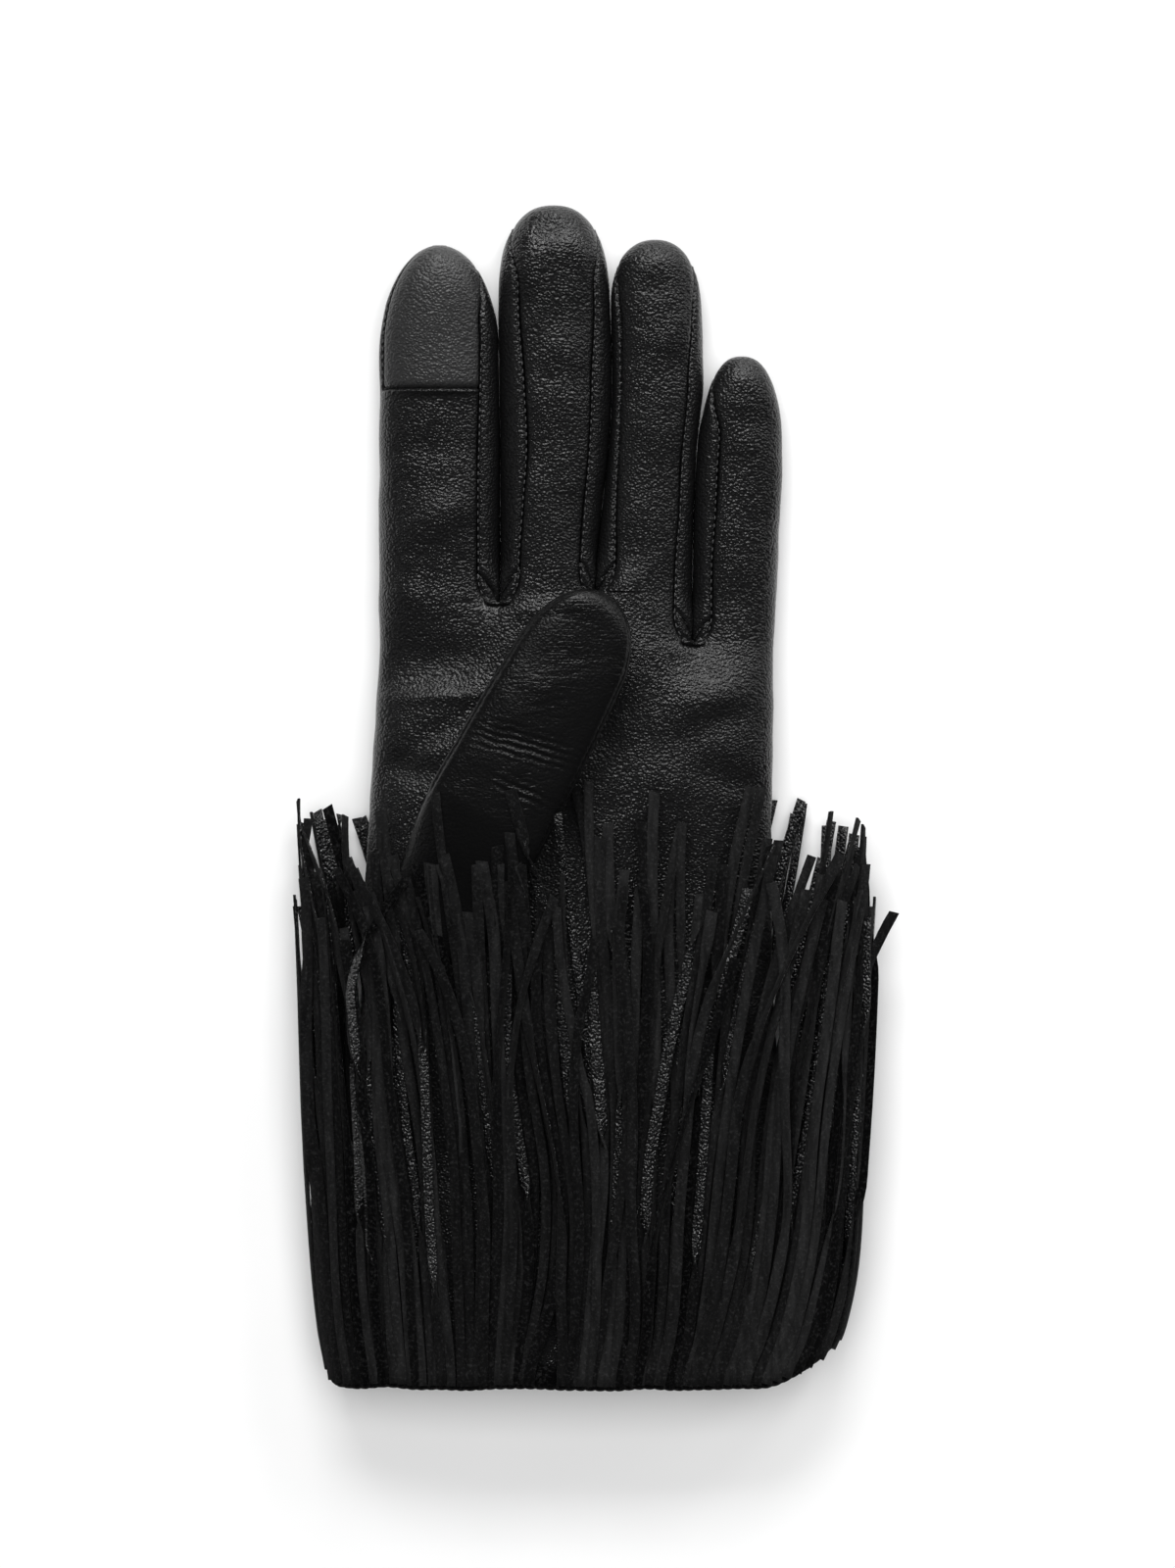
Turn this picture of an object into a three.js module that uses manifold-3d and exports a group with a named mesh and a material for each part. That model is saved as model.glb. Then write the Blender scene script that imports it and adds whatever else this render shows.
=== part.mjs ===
// A left-hand dress glove of thin leather with a fringed cuff.
// It lies on its back with the thumb folded over the palm.
// Sizes are in millimetres. +X is the little finger's side, +Y points to the fingertips and +Z is up.
import * as THREE from "three";
import Module from "manifold-3d";
import { mergeVertices } from "three/addons/utils/BufferGeometryUtils.js";

// Driving dimensions.
const leather = 1.2; // thickness of the glove leather
const suede = 0.9; // thickness of a fringe strip
const seamGap = 0.4; // clearance between two pieces that are sewn together
const fingerGap = 0.5; // clearance between two fingers side by side
const hem = -126; // y of the open end of the cuff
const patchEdge = 87.3; // y of the seam below the index fingertip patch
const fingerRound = 2.3; // how square a finger's section is, 2 being an ellipse
const handRound = 2.7; // how square the hand's and the cuff's section is
const backRound = 3; // how square the underside is
const flattening = 1.12; // how much of the underside is pressed flat where the glove rests
const seamTurn = 14; // length over which a finger's seams leave the outline below its tip
const crotchRound = 9.5; // length of the round end of a seam between two fingers
const crotchSwell = 2; // how far the leather spreads over the gap at a crotch
const blendAbove = 6; // where the fingers start to merge into the hand, above a crotch
const blendBelow = 14; // and where they have merged, below it
const domeLength = 14; // length over which a fingertip rounds off in height
const columns = 5; // faces across each finger

// Edges of the four fingers, of the hand and of the cuff seen from above, from the fingertips to the hem.
const outline = [
  { y: 118, indexSide: -44.6, indexMiddle: -19.4, middleRing: 4.7, ringLittle: 24.5, littleSide: 41.2 },
  { y: 89, indexSide: -44.9, indexMiddle: -19.1, middleRing: 5.3, ringLittle: 25.1, littleSide: 41.7 },
  { y: 75, indexSide: -45.1, indexMiddle: -18.9, middleRing: 4.6, ringLittle: 23.7, littleSide: 42.1 },
  { y: 62, indexSide: -45.1, indexMiddle: -18.9, middleRing: 3.2, ringLittle: 23.0, littleSide: 41.7 },
  { y: 48, indexSide: -45.1, indexMiddle: -18.9, middleRing: 1.8, ringLittle: 22.7, littleSide: 41.0 },
  { y: 33, indexSide: -45.1, indexMiddle: -19.0, middleRing: 1.6, ringLittle: 22.6, littleSide: 40.4 },
  { y: 10, indexSide: -46.2, indexMiddle: -20.0, middleRing: 0.6, ringLittle: 21.4, littleSide: 40.0 },
  { y: -30, indexSide: -48.2, indexMiddle: -22.0, middleRing: -2.0, ringLittle: 19.0, littleSide: 39.8 },
  { y: -70, indexSide: -49.8, indexMiddle: -24.0, middleRing: -2.8, ringLittle: 18.5, littleSide: 42.0 },
  { y: -126, indexSide: -52.6, indexMiddle: -27.0, middleRing: -2.8, ringLittle: 22.0, littleSide: 47.3 },
];

// Heights above the table: the fold down each side, the top of the palm and cuff, and the underside.
const heights = [
  { y: 60, side: 6.6, top: 15.0, bottom: 0 },
  { y: 42, side: 6.8, top: 16.0, bottom: 0 },
  { y: 30, side: 7.5, top: 17.4, bottom: 0 },
  { y: 20, side: 8.3, top: 18.6, bottom: 0 },
  { y: 7, side: 9.6, top: 19.8, bottom: 2.8 },
  { y: -18, side: 11.2, top: 21.2, bottom: 2.8 },
  { y: -60, side: 12.2, top: 22.6, bottom: 2.8 },
  { y: -126, side: 12.6, top: 23.2, bottom: 2.8 },
];

// The fingers from the index to the little one: their edges, tips and heights.
const fingers = [
  { left: "indexSide", right: "indexMiddle", tip: 118.4, tipLength: 22, blunt: 2, height: 14 },
  { left: "indexMiddle", right: "middleRing", tip: 127, tipLength: 21, blunt: 2.4, height: 14.5 },
  { left: "middleRing", right: "ringLittle", tip: 119.6, tipLength: 16, blunt: 2.3, height: 13.5 },
  { left: "ringLittle", right: "littleSide", tip: 94.4, tipLength: 19, blunt: 2.4, height: 12.5 },
];

// The slits between the fingers, which end lower on the back of the hand than on the palm.
const gaps = [
  { name: "index_middle", edge: "indexMiddle", palmCrotch: 41.4, backCrotch: 25.5 },
  { name: "middle_ring", edge: "middleRing", palmCrotch: 43.3, backCrotch: 24.5 },
  { name: "ring_little", edge: "ringLittle", palmCrotch: 32.8, backCrotch: 18.5 },
];

// How far in from the edge between two fingers the palm's seam runs on each of them.
const seams = [
  { y: 105, indexMiddle: [3.4, 4.2], middleRing: [3.1, 1.6], ringLittle: [1.8, 3.4] },
  { y: 88, indexMiddle: [3.8, 5.2], middleRing: [4.1, 1.5], ringLittle: [3.0, 3.5] },
  { y: 75, indexMiddle: [4.3, 5.6], middleRing: [3.9, 1.7], ringLittle: [2.8, 4.4] },
  { y: 62, indexMiddle: [4.5, 4.8], middleRing: [3.5, 2.6], ringLittle: [2.8, 4.4] },
  { y: 48, indexMiddle: [4.4, 3.9], middleRing: [3.1, 3.8], ringLittle: [3.5, 3.8] },
];
const backSeamInset = 4;

// Creases of the palm leather: where the middle of each lies, which way it runs, how long, wide and deep.
const folds = [
  { x: -33, y: 25, turn: 8, length: 17, width: 3.6, depth: 1.3 },
  { x: -27, y: 12, turn: 42, length: 14, width: 3.2, depth: 1.2 },
  { x: -38, y: 5, turn: -12, length: 10, width: 3.4, depth: 0.9 },
  { x: 25, y: 14, turn: 24, length: 14, width: 4.2, depth: 0.9 },
  { x: 30, y: 3, turn: -18, length: 12, width: 4, depth: 0.8 },
  { x: 22, y: -62, turn: 5, length: 30, width: 8, depth: 1.1 },
  { x: -20, y: -80, turn: -8, length: 28, width: 8, depth: 1.1 },
];

// The thumb lies slanted over the palm and grows out of a hole in it.
const thumb = {
  start: { x: -22.7, y: -7.2 }, // a point on the thumb's middle line
  direction: { x: 0.475, y: 0.88 },
  length: 56.4, // from the start to the tip
  tipLength: 17.5,
  thickness: 11.8,
  clearance: 0.6, // between the thumb and the palm that it lies on
  hole: { along: -17, across: 1.2, halfLength: 14, halfWidth: 12.6, clearance: 1.3 },
  full: 3, // where the thumb has its full section
};
const thumbRings = [12, 22, 31, 38, 44, 49, 52.5, 55.2, 56.2]; // places of the sections from there to the tip
const thumbWidths = [
  { along: -20, half: 13.9 },
  { along: 6, half: 13.7 },
  { along: 24, half: 13.2 },
  { along: 40, half: 12.4 },
  { along: 57, half: 12.2 },
];

// Outer edges of the fringe seen from above.
const fringeEdges = [
  { y: 6, left: -64.2, right: 60.6 },
  { y: -6, left: -64, right: 61.2 },
  { y: -30, left: -62.6, right: 61 },
  { y: -75, left: -61, right: 59.4 },
  { y: -100, left: -59.4, right: 58.2 },
  { y: -115, left: -57.8, right: 55.2 },
  { y: -127, left: -55.9, right: 50.6 },
];

// Four rows of strips, a long one under a short one on either side of the cuff. The level is the height of a
// row's outer face above the cuff's top on the palm's side, and above the table on the back's. The first and
// the last strip stray outwards by so much, from a place along them on.
const fringes = [
  {
    name: "fringe_palm_long",
    side: 1,
    strips: 22,
    level: 1.5,
    inset: 1.6,
    overThumb: 9,
    tip: -3,
    stray: [-3.7, 0],
    strayFrom: -26,
    seed: 1,
  },
  {
    name: "fringe_palm_short",
    side: 1,
    strips: 20,
    level: 3,
    inset: 0,
    overThumb: 11,
    tip: -24,
    stray: [0, 5.4],
    strayFrom: -90,
    seed: 5,
  },
  {
    name: "fringe_back_long",
    side: -1,
    strips: 22,
    level: 1.25,
    inset: 1.6,
    tip: -2,
    stray: [0, 0],
    strayFrom: -26,
    seed: 9,
  },
  {
    name: "fringe_back_short",
    side: -1,
    strips: 20,
    level: 0,
    inset: 0,
    tip: -26,
    stray: [0, 0],
    strayFrom: -90,
    seed: 14,
  },
];
const fringeHem = -127; // y of the sewn edge of the fringe
const headBand = 5; // height of the uncut band that the strips hang from
const stripShare = 0.84; // share of its pitch that a strip covers where it leaves the band
const stripTaper = 0.8; // width at its free end, as a share of the width at the band
const stripRows = { 1: [-96, -70, -48, -32, -16], "-1": [-90, -48] }; // y of a strip's cross rows, by side
const tipUneven = 4.5; // how far the free ends lie from a straight line
const sideClearance = 0.035; // share of the way round that is left free between palm and back rows
// Where the palm's strips rise over the thumb's root, and where those in its way end.
const overRoot = { left: -42, right: -8, leftShoulder: 6, rightShoulder: 12, from: -60, to: -22 };
const stoppedStrips = { left: -42, right: -1, tip: -22 };

const clamp01 = (value) => Math.min(1, Math.max(0, value));
const mix = (from, to, share) => from + (to - from) * share;
const power = (value, exponent) => Math.pow(Math.max(0, value), exponent);

function smooth(value) {
  const t = clamp01(value);
  return t * t * (3 - 2 * t);
}

// Smooth value of a table's column at a place along it, level where the column turns.
// The rows run from high to low or from low to high.
function read(rows, column, place, key = "y") {
  const falls = rows[0][key] > rows[1][key];
  const passed = rows.findIndex((row) => (falls ? place >= row[key] : place <= row[key]));
  if (passed === 0) return rows[0][column];
  if (passed < 0) return rows[rows.length - 1][column];
  const slope = (i) => {
    const before = rows[Math.max(0, i - 1)];
    const after = rows[Math.min(rows.length - 1, i + 1)];
    const turns = (after[column] - rows[i][column]) * (rows[i][column] - before[column]) <= 0;
    return turns ? 0 : (after[column] - before[column]) / (after[key] - before[key]);
  };
  const a = rows[passed - 1];
  const b = rows[passed];
  const step = b[key] - a[key];
  const t = (place - a[key]) / step;
  const start = a[column] * (1 + 2 * t) * (1 - t) * (1 - t);
  const end = b[column] * t * t * (3 - 2 * t);
  const leaving = slope(passed - 1) * step * t * (1 - t) * (1 - t);
  const arriving = slope(passed) * step * t * t * (t - 1);
  return start + end + leaving + arriving;
}

// Inset of a seam: rows hold one number for the finger on the left of the gap and one for that on the right.
function seamInset(edge, y, onRight) {
  const rows = seams.map((row) => ({ y: row.y, inset: row[edge][onRight ? 1 : 0] }));
  return read(rows, "inset", y);
}

// Rise of an outline that starts blunt at a tip and reaches 1 after a length.
function dome(distance, length, blunt) {
  const left = 1 - clamp01(distance / length);
  return power(1 - power(left, blunt), 1 / blunt);
}

// One finger's section at y: its middle, its half widths to either side, and its three heights.
function fingerSection(index, y, side) {
  const finger = fingers[index];
  const left = read(outline, finger.left, y);
  const right = read(outline, finger.right, y);
  const below = finger.tip - y;
  const narrow = Math.max(0.12, dome(below, finger.tipLength, finger.blunt));
  const rise = dome(below, domeLength, 2);
  const level = read(heights, "side", y);
  const bottom = read(heights, "bottom", y);
  const half = (right - left) / 2;
  const swell = (gap) => {
    if (!gap) return 0;
    const crotch = side > 0 ? gap.palmCrotch : gap.backCrotch;
    return fingerGap / 2 + crotchSwell * (1 - smooth((y - crotch) / 10));
  };
  const inner = (gap) => (gap ? fingerGap / 2 : 0);
  const gapLeft = gaps[index - 1];
  const gapRight = gaps[index];
  return {
    middle: (left + right) / 2,
    half: half * narrow,
    narrow,
    wideLeft: (half - inner(gapLeft)) * narrow + swell(gapLeft) * narrow,
    wideRight: (half - inner(gapRight)) * narrow + swell(gapRight) * narrow,
    level,
    up: (finger.height - level) * rise,
    down: (level - bottom) * rise,
    bottom: level - (level - bottom) * rise,
  };
}

// Point of a section at an angle from the +X side round to the -X side, over the top or under the bottom.
function sectionPoint(section, angle, side, round) {
  const cosine = Math.cos(angle);
  const sine = Math.abs(Math.sin(angle));
  const wide = cosine < 0 ? section.wideLeft : section.wideRight;
  const x = section.middle + Math.sign(cosine) * wide * power(Math.abs(cosine), 2 / round);
  if (side > 0) return { x, z: section.level + section.up * power(sine, 2 / round) };
  const z = section.level - flattening * section.down * power(sine, 2 / backRound);
  return { x, z: Math.max(section.bottom, z) };
}

// Angle at which a section reaches a place x.
function angleAt(section, x, round) {
  const wide = x < section.middle ? section.wideLeft : section.wideRight;
  const share = clamp01(Math.abs(x - section.middle) / wide);
  const angle = Math.acos(power(share, round / 2));
  return x < section.middle ? Math.PI - angle : angle;
}

// The hand's or the cuff's whole section at y.
function handSection(y) {
  const left = read(outline, "indexSide", y);
  const right = read(outline, "littleSide", y);
  const level = read(heights, "side", y);
  const bottom = read(heights, "bottom", y);
  return {
    middle: (left + right) / 2,
    wideLeft: (right - left) / 2,
    wideRight: (right - left) / 2,
    level,
    up: read(heights, "top", y) - level,
    down: level - bottom,
    bottom,
  };
}

// How far a panel's border on one side of a finger lies from the edge between the fingers.
function borderInset(index, y, side, onRight) {
  const gap = gaps[onRight ? index : index - 1];
  const crotch = side > 0 ? gap.palmCrotch : gap.backCrotch;
  if (y <= crotch) return 0;
  const inset = side > 0 ? seamInset(gap.edge, y, !onRight) : backSeamInset;
  const fromTip = smooth((fingers[index].tip - y - 4) / seamTurn);
  const left = 1 - clamp01((y - crotch) / crotchRound);
  return inset * fromTip * Math.sqrt(1 - left * left);
}

// Angles between which a panel covers a finger, each kept a seam's clearance short of the next piece.
function panelAngles(index, y, side) {
  const section = fingerSection(index, y, side);
  const reach = Math.hypot(section.half, section.up) * 0.7;
  const clearance = seamGap / 2 / Math.max(reach, 1);
  const borders = [false, true].map((onRight) => {
    const gap = gaps[onRight ? index : index - 1];
    if (!gap) return onRight ? clearance : Math.PI - clearance;
    const crotch = side > 0 ? gap.palmCrotch : gap.backCrotch;
    const inset = borderInset(index, y, side, onRight) + (y > crotch ? fingerGap / 2 : 0);
    const sign = onRight ? 1 : -1;
    const x = section.middle + sign * (section.half - inset * section.narrow);
    const angle = angleAt(section, x, fingerRound);
    return y > crotch ? angle + sign * clearance : angle;
  });
  return { section, from: borders[0], to: borders[1] };
}

// How far a point beside a gap has merged into the hand.
function merged(gap, y, side) {
  const crotch = side > 0 ? gap.palmCrotch : gap.backCrotch;
  return 1 - smooth((y - crotch + blendBelow) / (blendAbove + blendBelow));
}

// Depth of all creases at a place on the palm.
function foldDepth(x, y) {
  return folds.reduce((sum, fold) => {
    const turn = THREE.MathUtils.degToRad(fold.turn);
    const dx = x - fold.x;
    const dy = y - fold.y;
    const along = dx * Math.cos(turn) + dy * Math.sin(turn);
    const across = dy * Math.cos(turn) - dx * Math.sin(turn);
    return sum + fold.depth * Math.exp(-Math.pow(along / fold.length, 2) - Math.pow(across / fold.width, 2));
  }, 0);
}

// A point of the palm or back panel: a share of the way over one finger, from its -X to its +X border.
function panelPoint(index, share, y, side) {
  const { section, from, to } = panelAngles(index, y, side);
  const angle = mix(from, to, share);
  const onFinger = sectionPoint(section, angle, side, fingerRound);
  const hand = handSection(y);
  const leftEdge = gaps[index - 1] ? angleAt(hand, read(outline, fingers[index].left, y), handRound) : from;
  const rightEdge = gaps[index] ? angleAt(hand, read(outline, fingers[index].right, y), handRound) : to;
  const onHand = sectionPoint(hand, mix(leftEdge, rightEdge, share), side, handRound);
  const leftMerged = merged(gaps[index - 1] || gaps[index], y, side);
  const rightMerged = merged(gaps[index] || gaps[index - 1], y, side);
  const weight = mix(leftMerged, rightMerged, share);
  const x = mix(onFinger.x, onHand.x, weight);
  const crease = side > 0 ? foldDepth(x, y) * Math.sin(angle) : 0;
  const z = mix(onFinger.z, onHand.z, weight) - crease;
  const limit = section.level + side * seamGap;
  return new THREE.Vector3(x, y, side > 0 ? Math.max(z, limit) : Math.min(z, limit));
}

// Rows of a panel on one finger, from its tip down; the same rows run across all four fingers below them.
function panelRows(index, side) {
  const finger = fingers[index];
  const shared = side > 0 ? 46 : 36;
  const nearTip = [0, 0.5, 1.8, 4, 7.5, 12, 18, 26].map((below) => finger.tip - below);
  const length = finger.tip - 26 - shared;
  const count = Math.round(length / 11);
  const along = Array.from({ length: count - 1 }, (_, i) => finger.tip - 26 - (length * (i + 1)) / count);
  const across =
    side > 0
      ? [46, 43.3, 41.4, 37, 32.8, 28, 23, 18, 13, 8, 3, -3, -10, -18, -28, -40, -54, -68, -82, -96, -111]
      : [36, 30, 25.5, 24.5, 18.5, 12, 4, -6, -12, -18, -34, -56, -80, -103];
  const patch = index === 0 && side > 0 ? [patchEdge + seamGap / 2, patchEdge - seamGap / 2] : [];
  return [...nearTip, ...along, ...patch, ...across, hem].sort((a, b) => b - a);
}

// A name for a border point that two fingers share once they have joined.
function sharedName(index, column, y, side) {
  if (column !== 0 && column !== columns) return null;
  const gap = gaps[column === 0 ? index - 1 : index];
  if (!gap) return null;
  const crotch = side > 0 ? gap.palmCrotch : gap.backCrotch;
  return y <= crotch ? gap.name + y : null;
}

// A sheet of points and faces for the chosen fingers and rows of a panel.
function panelSheet(side, indexes, keepRow) {
  const sheet = { points: [], faces: [] };
  const shared = new Map();
  const pointAt = (index, column, y) => {
    const name = sharedName(index, column, y, side);
    if (name && shared.has(name)) return shared.get(name);
    sheet.points.push(panelPoint(index, column / columns, y, side));
    const made = sheet.points.length - 1;
    if (name) shared.set(name, made);
    return made;
  };
  for (const index of indexes) {
    let above = null;
    for (const y of panelRows(index, side).filter((row) => keepRow(index, row))) {
      const row = [];
      for (let column = 0; column <= columns; column++) row.push(pointAt(index, column, y));
      if (above) addStrip(sheet, above, row, side > 0);
      above = row;
    }
  }
  return sheet;
}

// Faces between two rows of points.
function addStrip(sheet, above, below, upward) {
  for (let i = 0; i + 1 < above.length; i++) {
    const face = [above[i], below[i], below[i + 1], above[i + 1]];
    sheet.faces.push(upward ? face : face.reverse());
  }
}

// Normals of a sheet's points, from the faces round them.
function sheetNormals(sheet) {
  const normals = sheet.points.map(() => new THREE.Vector3());
  for (const face of sheet.faces) {
    const corners = face.map((i) => sheet.points[i]);
    const across = corners[2].clone().sub(corners[0]);
    const other = corners[corners.length - 1].clone().sub(corners[1]);
    const normal = across.cross(other);
    for (const i of face) normals[i].add(normal);
  }
  return normals.map((normal) => normal.normalize());
}

// A closed solid of even thickness behind a sheet: the sheet, its copy moved inwards, and the rims between.
function thicken(sheet, thickness) {
  const count = sheet.points.length;
  const normals = sheetNormals(sheet);
  const inner = sheet.points.map((point, i) => point.clone().addScaledVector(normals[i], -thickness));
  const corners = [...sheet.points, ...inner];
  const triangles = [];
  const edges = new Map();
  for (const face of sheet.faces) {
    for (let i = 1; i + 1 < face.length; i++) {
      const [a, b, c] = [face[0], face[i], face[i + 1]];
      triangles.push([a, b, c], [a + count, c + count, b + count]);
    }
    face.forEach((a, i) => {
      const b = face[(i + 1) % face.length];
      edges.set(a + "," + b, [a, b]);
    });
  }
  for (const [a, b] of edges.values()) {
    if (edges.has(b + "," + a)) continue;
    triangles.push([b, a, a + count], [b, a + count, b + count]);
  }
  const geometry = new THREE.BufferGeometry().setFromPoints(corners);
  geometry.setIndex(triangles.flat());
  return geometry;
}

// The two legs and the web of a fourchette, the strip sewn into the gap between two fingers.
function gapPoint(gapIndex, leg, reach, share) {
  const gap = gaps[gapIndex];
  const index = leg < 0 ? gapIndex : gapIndex + 1;
  const end = fingers[index].tip - 6;
  const palmY = mix(gap.palmCrotch, end, reach);
  const backY = mix(gap.backCrotch, end, reach);
  const y = mix(palmY, backY, share);
  const borderAngle = (at, side) => {
    const panel = panelAngles(index, Math.max(at, side > 0 ? gap.palmCrotch : gap.backCrotch), side);
    const angle = leg < 0 ? panel.to : Math.PI - panel.from;
    return { angle, panel };
  };
  const palm = borderAngle(palmY, 1);
  const back = borderAngle(backY, -1);
  const turned = mix(palm.angle, -back.angle, share);
  const side = turned >= 0 ? 1 : -1;
  const pointOn = (at, angle, which) => {
    const section = fingerSection(index, at, which);
    return sectionPoint(section, leg < 0 ? Math.abs(angle) : Math.PI - Math.abs(angle), which, fingerRound);
  };
  const on = pointOn(y, turned, side);
  const atPalm = pointOn(palmY, palm.angle, 1);
  const atBack = pointOn(backY, back.angle, -1);
  const palmSeam = panelPoint(index, leg < 0 ? 1 : 0, palmY, 1);
  const backSeam = panelPoint(index, leg < 0 ? 1 : 0, backY, -1);
  const z = on.z + mix(palmSeam.z - atPalm.z, backSeam.z - atBack.z, share);
  const edge = read(outline, gap.edge, y);
  const x = leg < 0 ? Math.min(on.x, edge - fingerGap / 2) : Math.max(on.x, edge + fingerGap / 2);
  return new THREE.Vector3(reach === 0 ? edge : x, y, z);
}

// Stations along a fourchette's leg, as shares of its length from the crotch.
const legStations = [0, 0.012, 0.04, 0.08, 0.13, 0.22, 0.34, 0.48, 0.62, 0.76, 0.88, 1];
const gussetReach = 4; // stations from the crotch that the gusset spans
const gussetTop = 0.5; // share of the web's height at which the gusset starts at the crotch
const gussetBottom = 0.74; // and at which the fourchette takes over
const gussetMargin = 0.13; // share of the height left free between the two
const gussetSide = 0.2; // and at which it starts where its sides run out
const wallMargin = 1.65; // distance from a seam at which a wall starts
const webMargin = 2.8; // the same at the back's crotch, where the wall meets the panel's edge

// Share of a wall's height that a distance makes up at one station.
function wallShare(gapIndex, leg, station, distance) {
  const palmSeam = gapPoint(gapIndex, leg, legStations[station], 0);
  const backSeam = gapPoint(gapIndex, leg, legStations[station], 1);
  return distance / Math.hypot(palmSeam.y - backSeam.y, palmSeam.z - backSeam.z);
}

// Shares of the wall's height between which the fourchette runs.
function fourchetteSpan(gapIndex, leg, station) {
  const nearWeb = clamp01(station / gussetReach);
  const start = mix(gussetBottom, wallShare(gapIndex, leg, station, wallMargin), nearWeb);
  const end = 1 - wallShare(gapIndex, leg, station, mix(webMargin, wallMargin, nearWeb));
  return { start, end };
}

// One row of points down the wall of a gap, from one share of its height to another.
function gapRow(gapIndex, leg, station, from, to, faces) {
  return Array.from({ length: faces + 1 }, (_, i) =>
    gapPoint(gapIndex, leg, legStations[station], mix(from, to, i / faces)),
  );
}

// A sheet through rows of points that follow each other.
function loftSheet(rows, upward) {
  const sheet = { points: rows.flat(), faces: [] };
  const ids = rows.map((row, r) => row.map((_, i) => r * row.length + i));
  for (let r = 0; r + 1 < rows.length; r++) addStrip(sheet, ids[r], ids[r + 1], upward);
  return sheet;
}

// Stations in order: down the left finger's leg, round the web and up the right finger's leg.
function stationsRound(last) {
  const down = Array.from({ length: last + 1 }, (_, i) => ({ leg: -1, station: last - i }));
  const up = Array.from({ length: last }, (_, i) => ({ leg: 1, station: i + 1 }));
  return [...down, ...up];
}

function fourchette(gapIndex) {
  const rows = stationsRound(legStations.length - 1).map(({ leg, station }) => {
    const { start, end } = fourchetteSpan(gapIndex, leg, station);
    return gapRow(gapIndex, leg, station, start, end, 3);
  });
  return thicken(loftSheet(rows, true), leather);
}

// The small three-cornered gusset that closes the top of a gap's web.
function gusset(gapIndex) {
  const rows = stationsRound(gussetReach - 1).map(({ leg, station }) => {
    const bottom = fourchetteSpan(gapIndex, leg, station).start - gussetMargin;
    const top = mix(gussetTop, gussetSide, station / (gussetReach - 1));
    return gapRow(gapIndex, leg, station, Math.min(top, bottom - 0.04), bottom, 2);
  });
  return thicken(loftSheet(rows, true), leather);
}

// Height of the palm at a place on it, without creases.
function palmHeight(x, y) {
  const hand = handSection(y);
  const angle = angleAt(hand, x, handRound);
  return sectionPoint(hand, angle, 1, handRound).z;
}

// A place beside the thumb's middle line.
function besideThumb(along, across) {
  const { start, direction } = thumb;
  return {
    x: start.x + direction.x * along + direction.y * across,
    y: start.y + direction.y * along - direction.x * across,
  };
}

// A ring round the thumb where it has its full section, lying on the palm.
function thumbRing(along, sides) {
  const below = thumb.length - along;
  const half = read(thumbWidths, "half", along, "along") * Math.max(0.1, dome(below, thumb.tipLength, 2));
  const thick = thumb.thickness * Math.max(0.06, dome(below, domeLength, 2));
  const lifted = (thumb.thickness - thick) * 0.42;
  return Array.from({ length: sides }, (_, i) => {
    const angle = (2 * Math.PI * i) / sides;
    const sine = Math.sin(angle);
    const across = half * Math.sign(Math.cos(angle)) * power(Math.abs(Math.cos(angle)), 0.88);
    const place = besideThumb(along, across);
    const ground = palmHeight(place.x, Math.min(place.y, 38)) + thumb.clearance;
    const share = (1 + Math.sign(sine) * power(Math.abs(sine), 0.8)) / 2;
    return new THREE.Vector3(place.x, place.y, ground + lifted + thick * share);
  });
}

// The ring in which the thumb is sewn round the hole in the palm.
function thumbBase(sides) {
  const { along, across, halfLength, halfWidth, clearance } = thumb.hole;
  return Array.from({ length: sides }, (_, i) => {
    const angle = (2 * Math.PI * i) / sides;
    const place = besideThumb(along - halfLength * Math.sin(angle), across + halfWidth * Math.cos(angle));
    return new THREE.Vector3(place.x, place.y, palmHeight(place.x, place.y) + clearance);
  });
}

function thumbSolid() {
  const sides = 16;
  const base = thumbBase(sides);
  const full = thumbRing(thumb.full, sides);
  const rings = [base];
  for (const share of [0.2, 0.45, 0.72]) {
    const rise = 0.6 * share + 0.4 * Math.sin((share * Math.PI) / 2);
    rings.push(
      base.map((point, i) => {
        const between = point.clone().lerp(full[i], share);
        between.z = mix(point.z, full[i].z, rise);
        between.z = Math.max(between.z, palmHeight(between.x, between.y) + thumb.clearance);
        return between;
      }),
    );
  }
  rings.push(full);
  for (const along of thumbRings) rings.push(thumbRing(along, sides));
  const sheet = { points: rings.flat(), faces: [] };
  for (let r = 0; r + 1 < rings.length; r++)
    for (let i = 0; i < sides; i++) {
      const next = (i + 1) % sides;
      sheet.faces.push([r * sides + i, (r + 1) * sides + i, (r + 1) * sides + next, r * sides + next]);
    }
  const last = rings[rings.length - 1];
  const tip = last.reduce((sum, point) => sum.add(point), new THREE.Vector3()).divideScalar(sides);
  sheet.points.push(tip);
  for (let i = 0; i < sides; i++) {
    const start = (rings.length - 1) * sides;
    sheet.faces.push([start + i, sheet.points.length - 1, start + ((i + 1) % sides)]);
  }
  return thicken(sheet, leather);
}

// A plain number from -1 to 1 that differs from strip to strip and is the same each time.
function uneven(number, seed) {
  return Math.sin(number * 2.399 + seed) * 0.6 + Math.sin(number * 5.13 + seed * 1.7) * 0.4;
}

// Section that a row of fringe follows at y.
function fringeSection(fringe, y) {
  const left = read(fringeEdges, "left", y) + fringe.inset;
  const right = read(fringeEdges, "right", y) - fringe.inset;
  const hand = handSection(y);
  return {
    middle: (left + right) / 2,
    wideLeft: (right - left) / 2,
    wideRight: (right - left) / 2,
    level: hand.level,
    up: hand.up + fringe.level,
    down: hand.level - fringe.level,
    bottom: fringe.level,
  };
}

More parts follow.
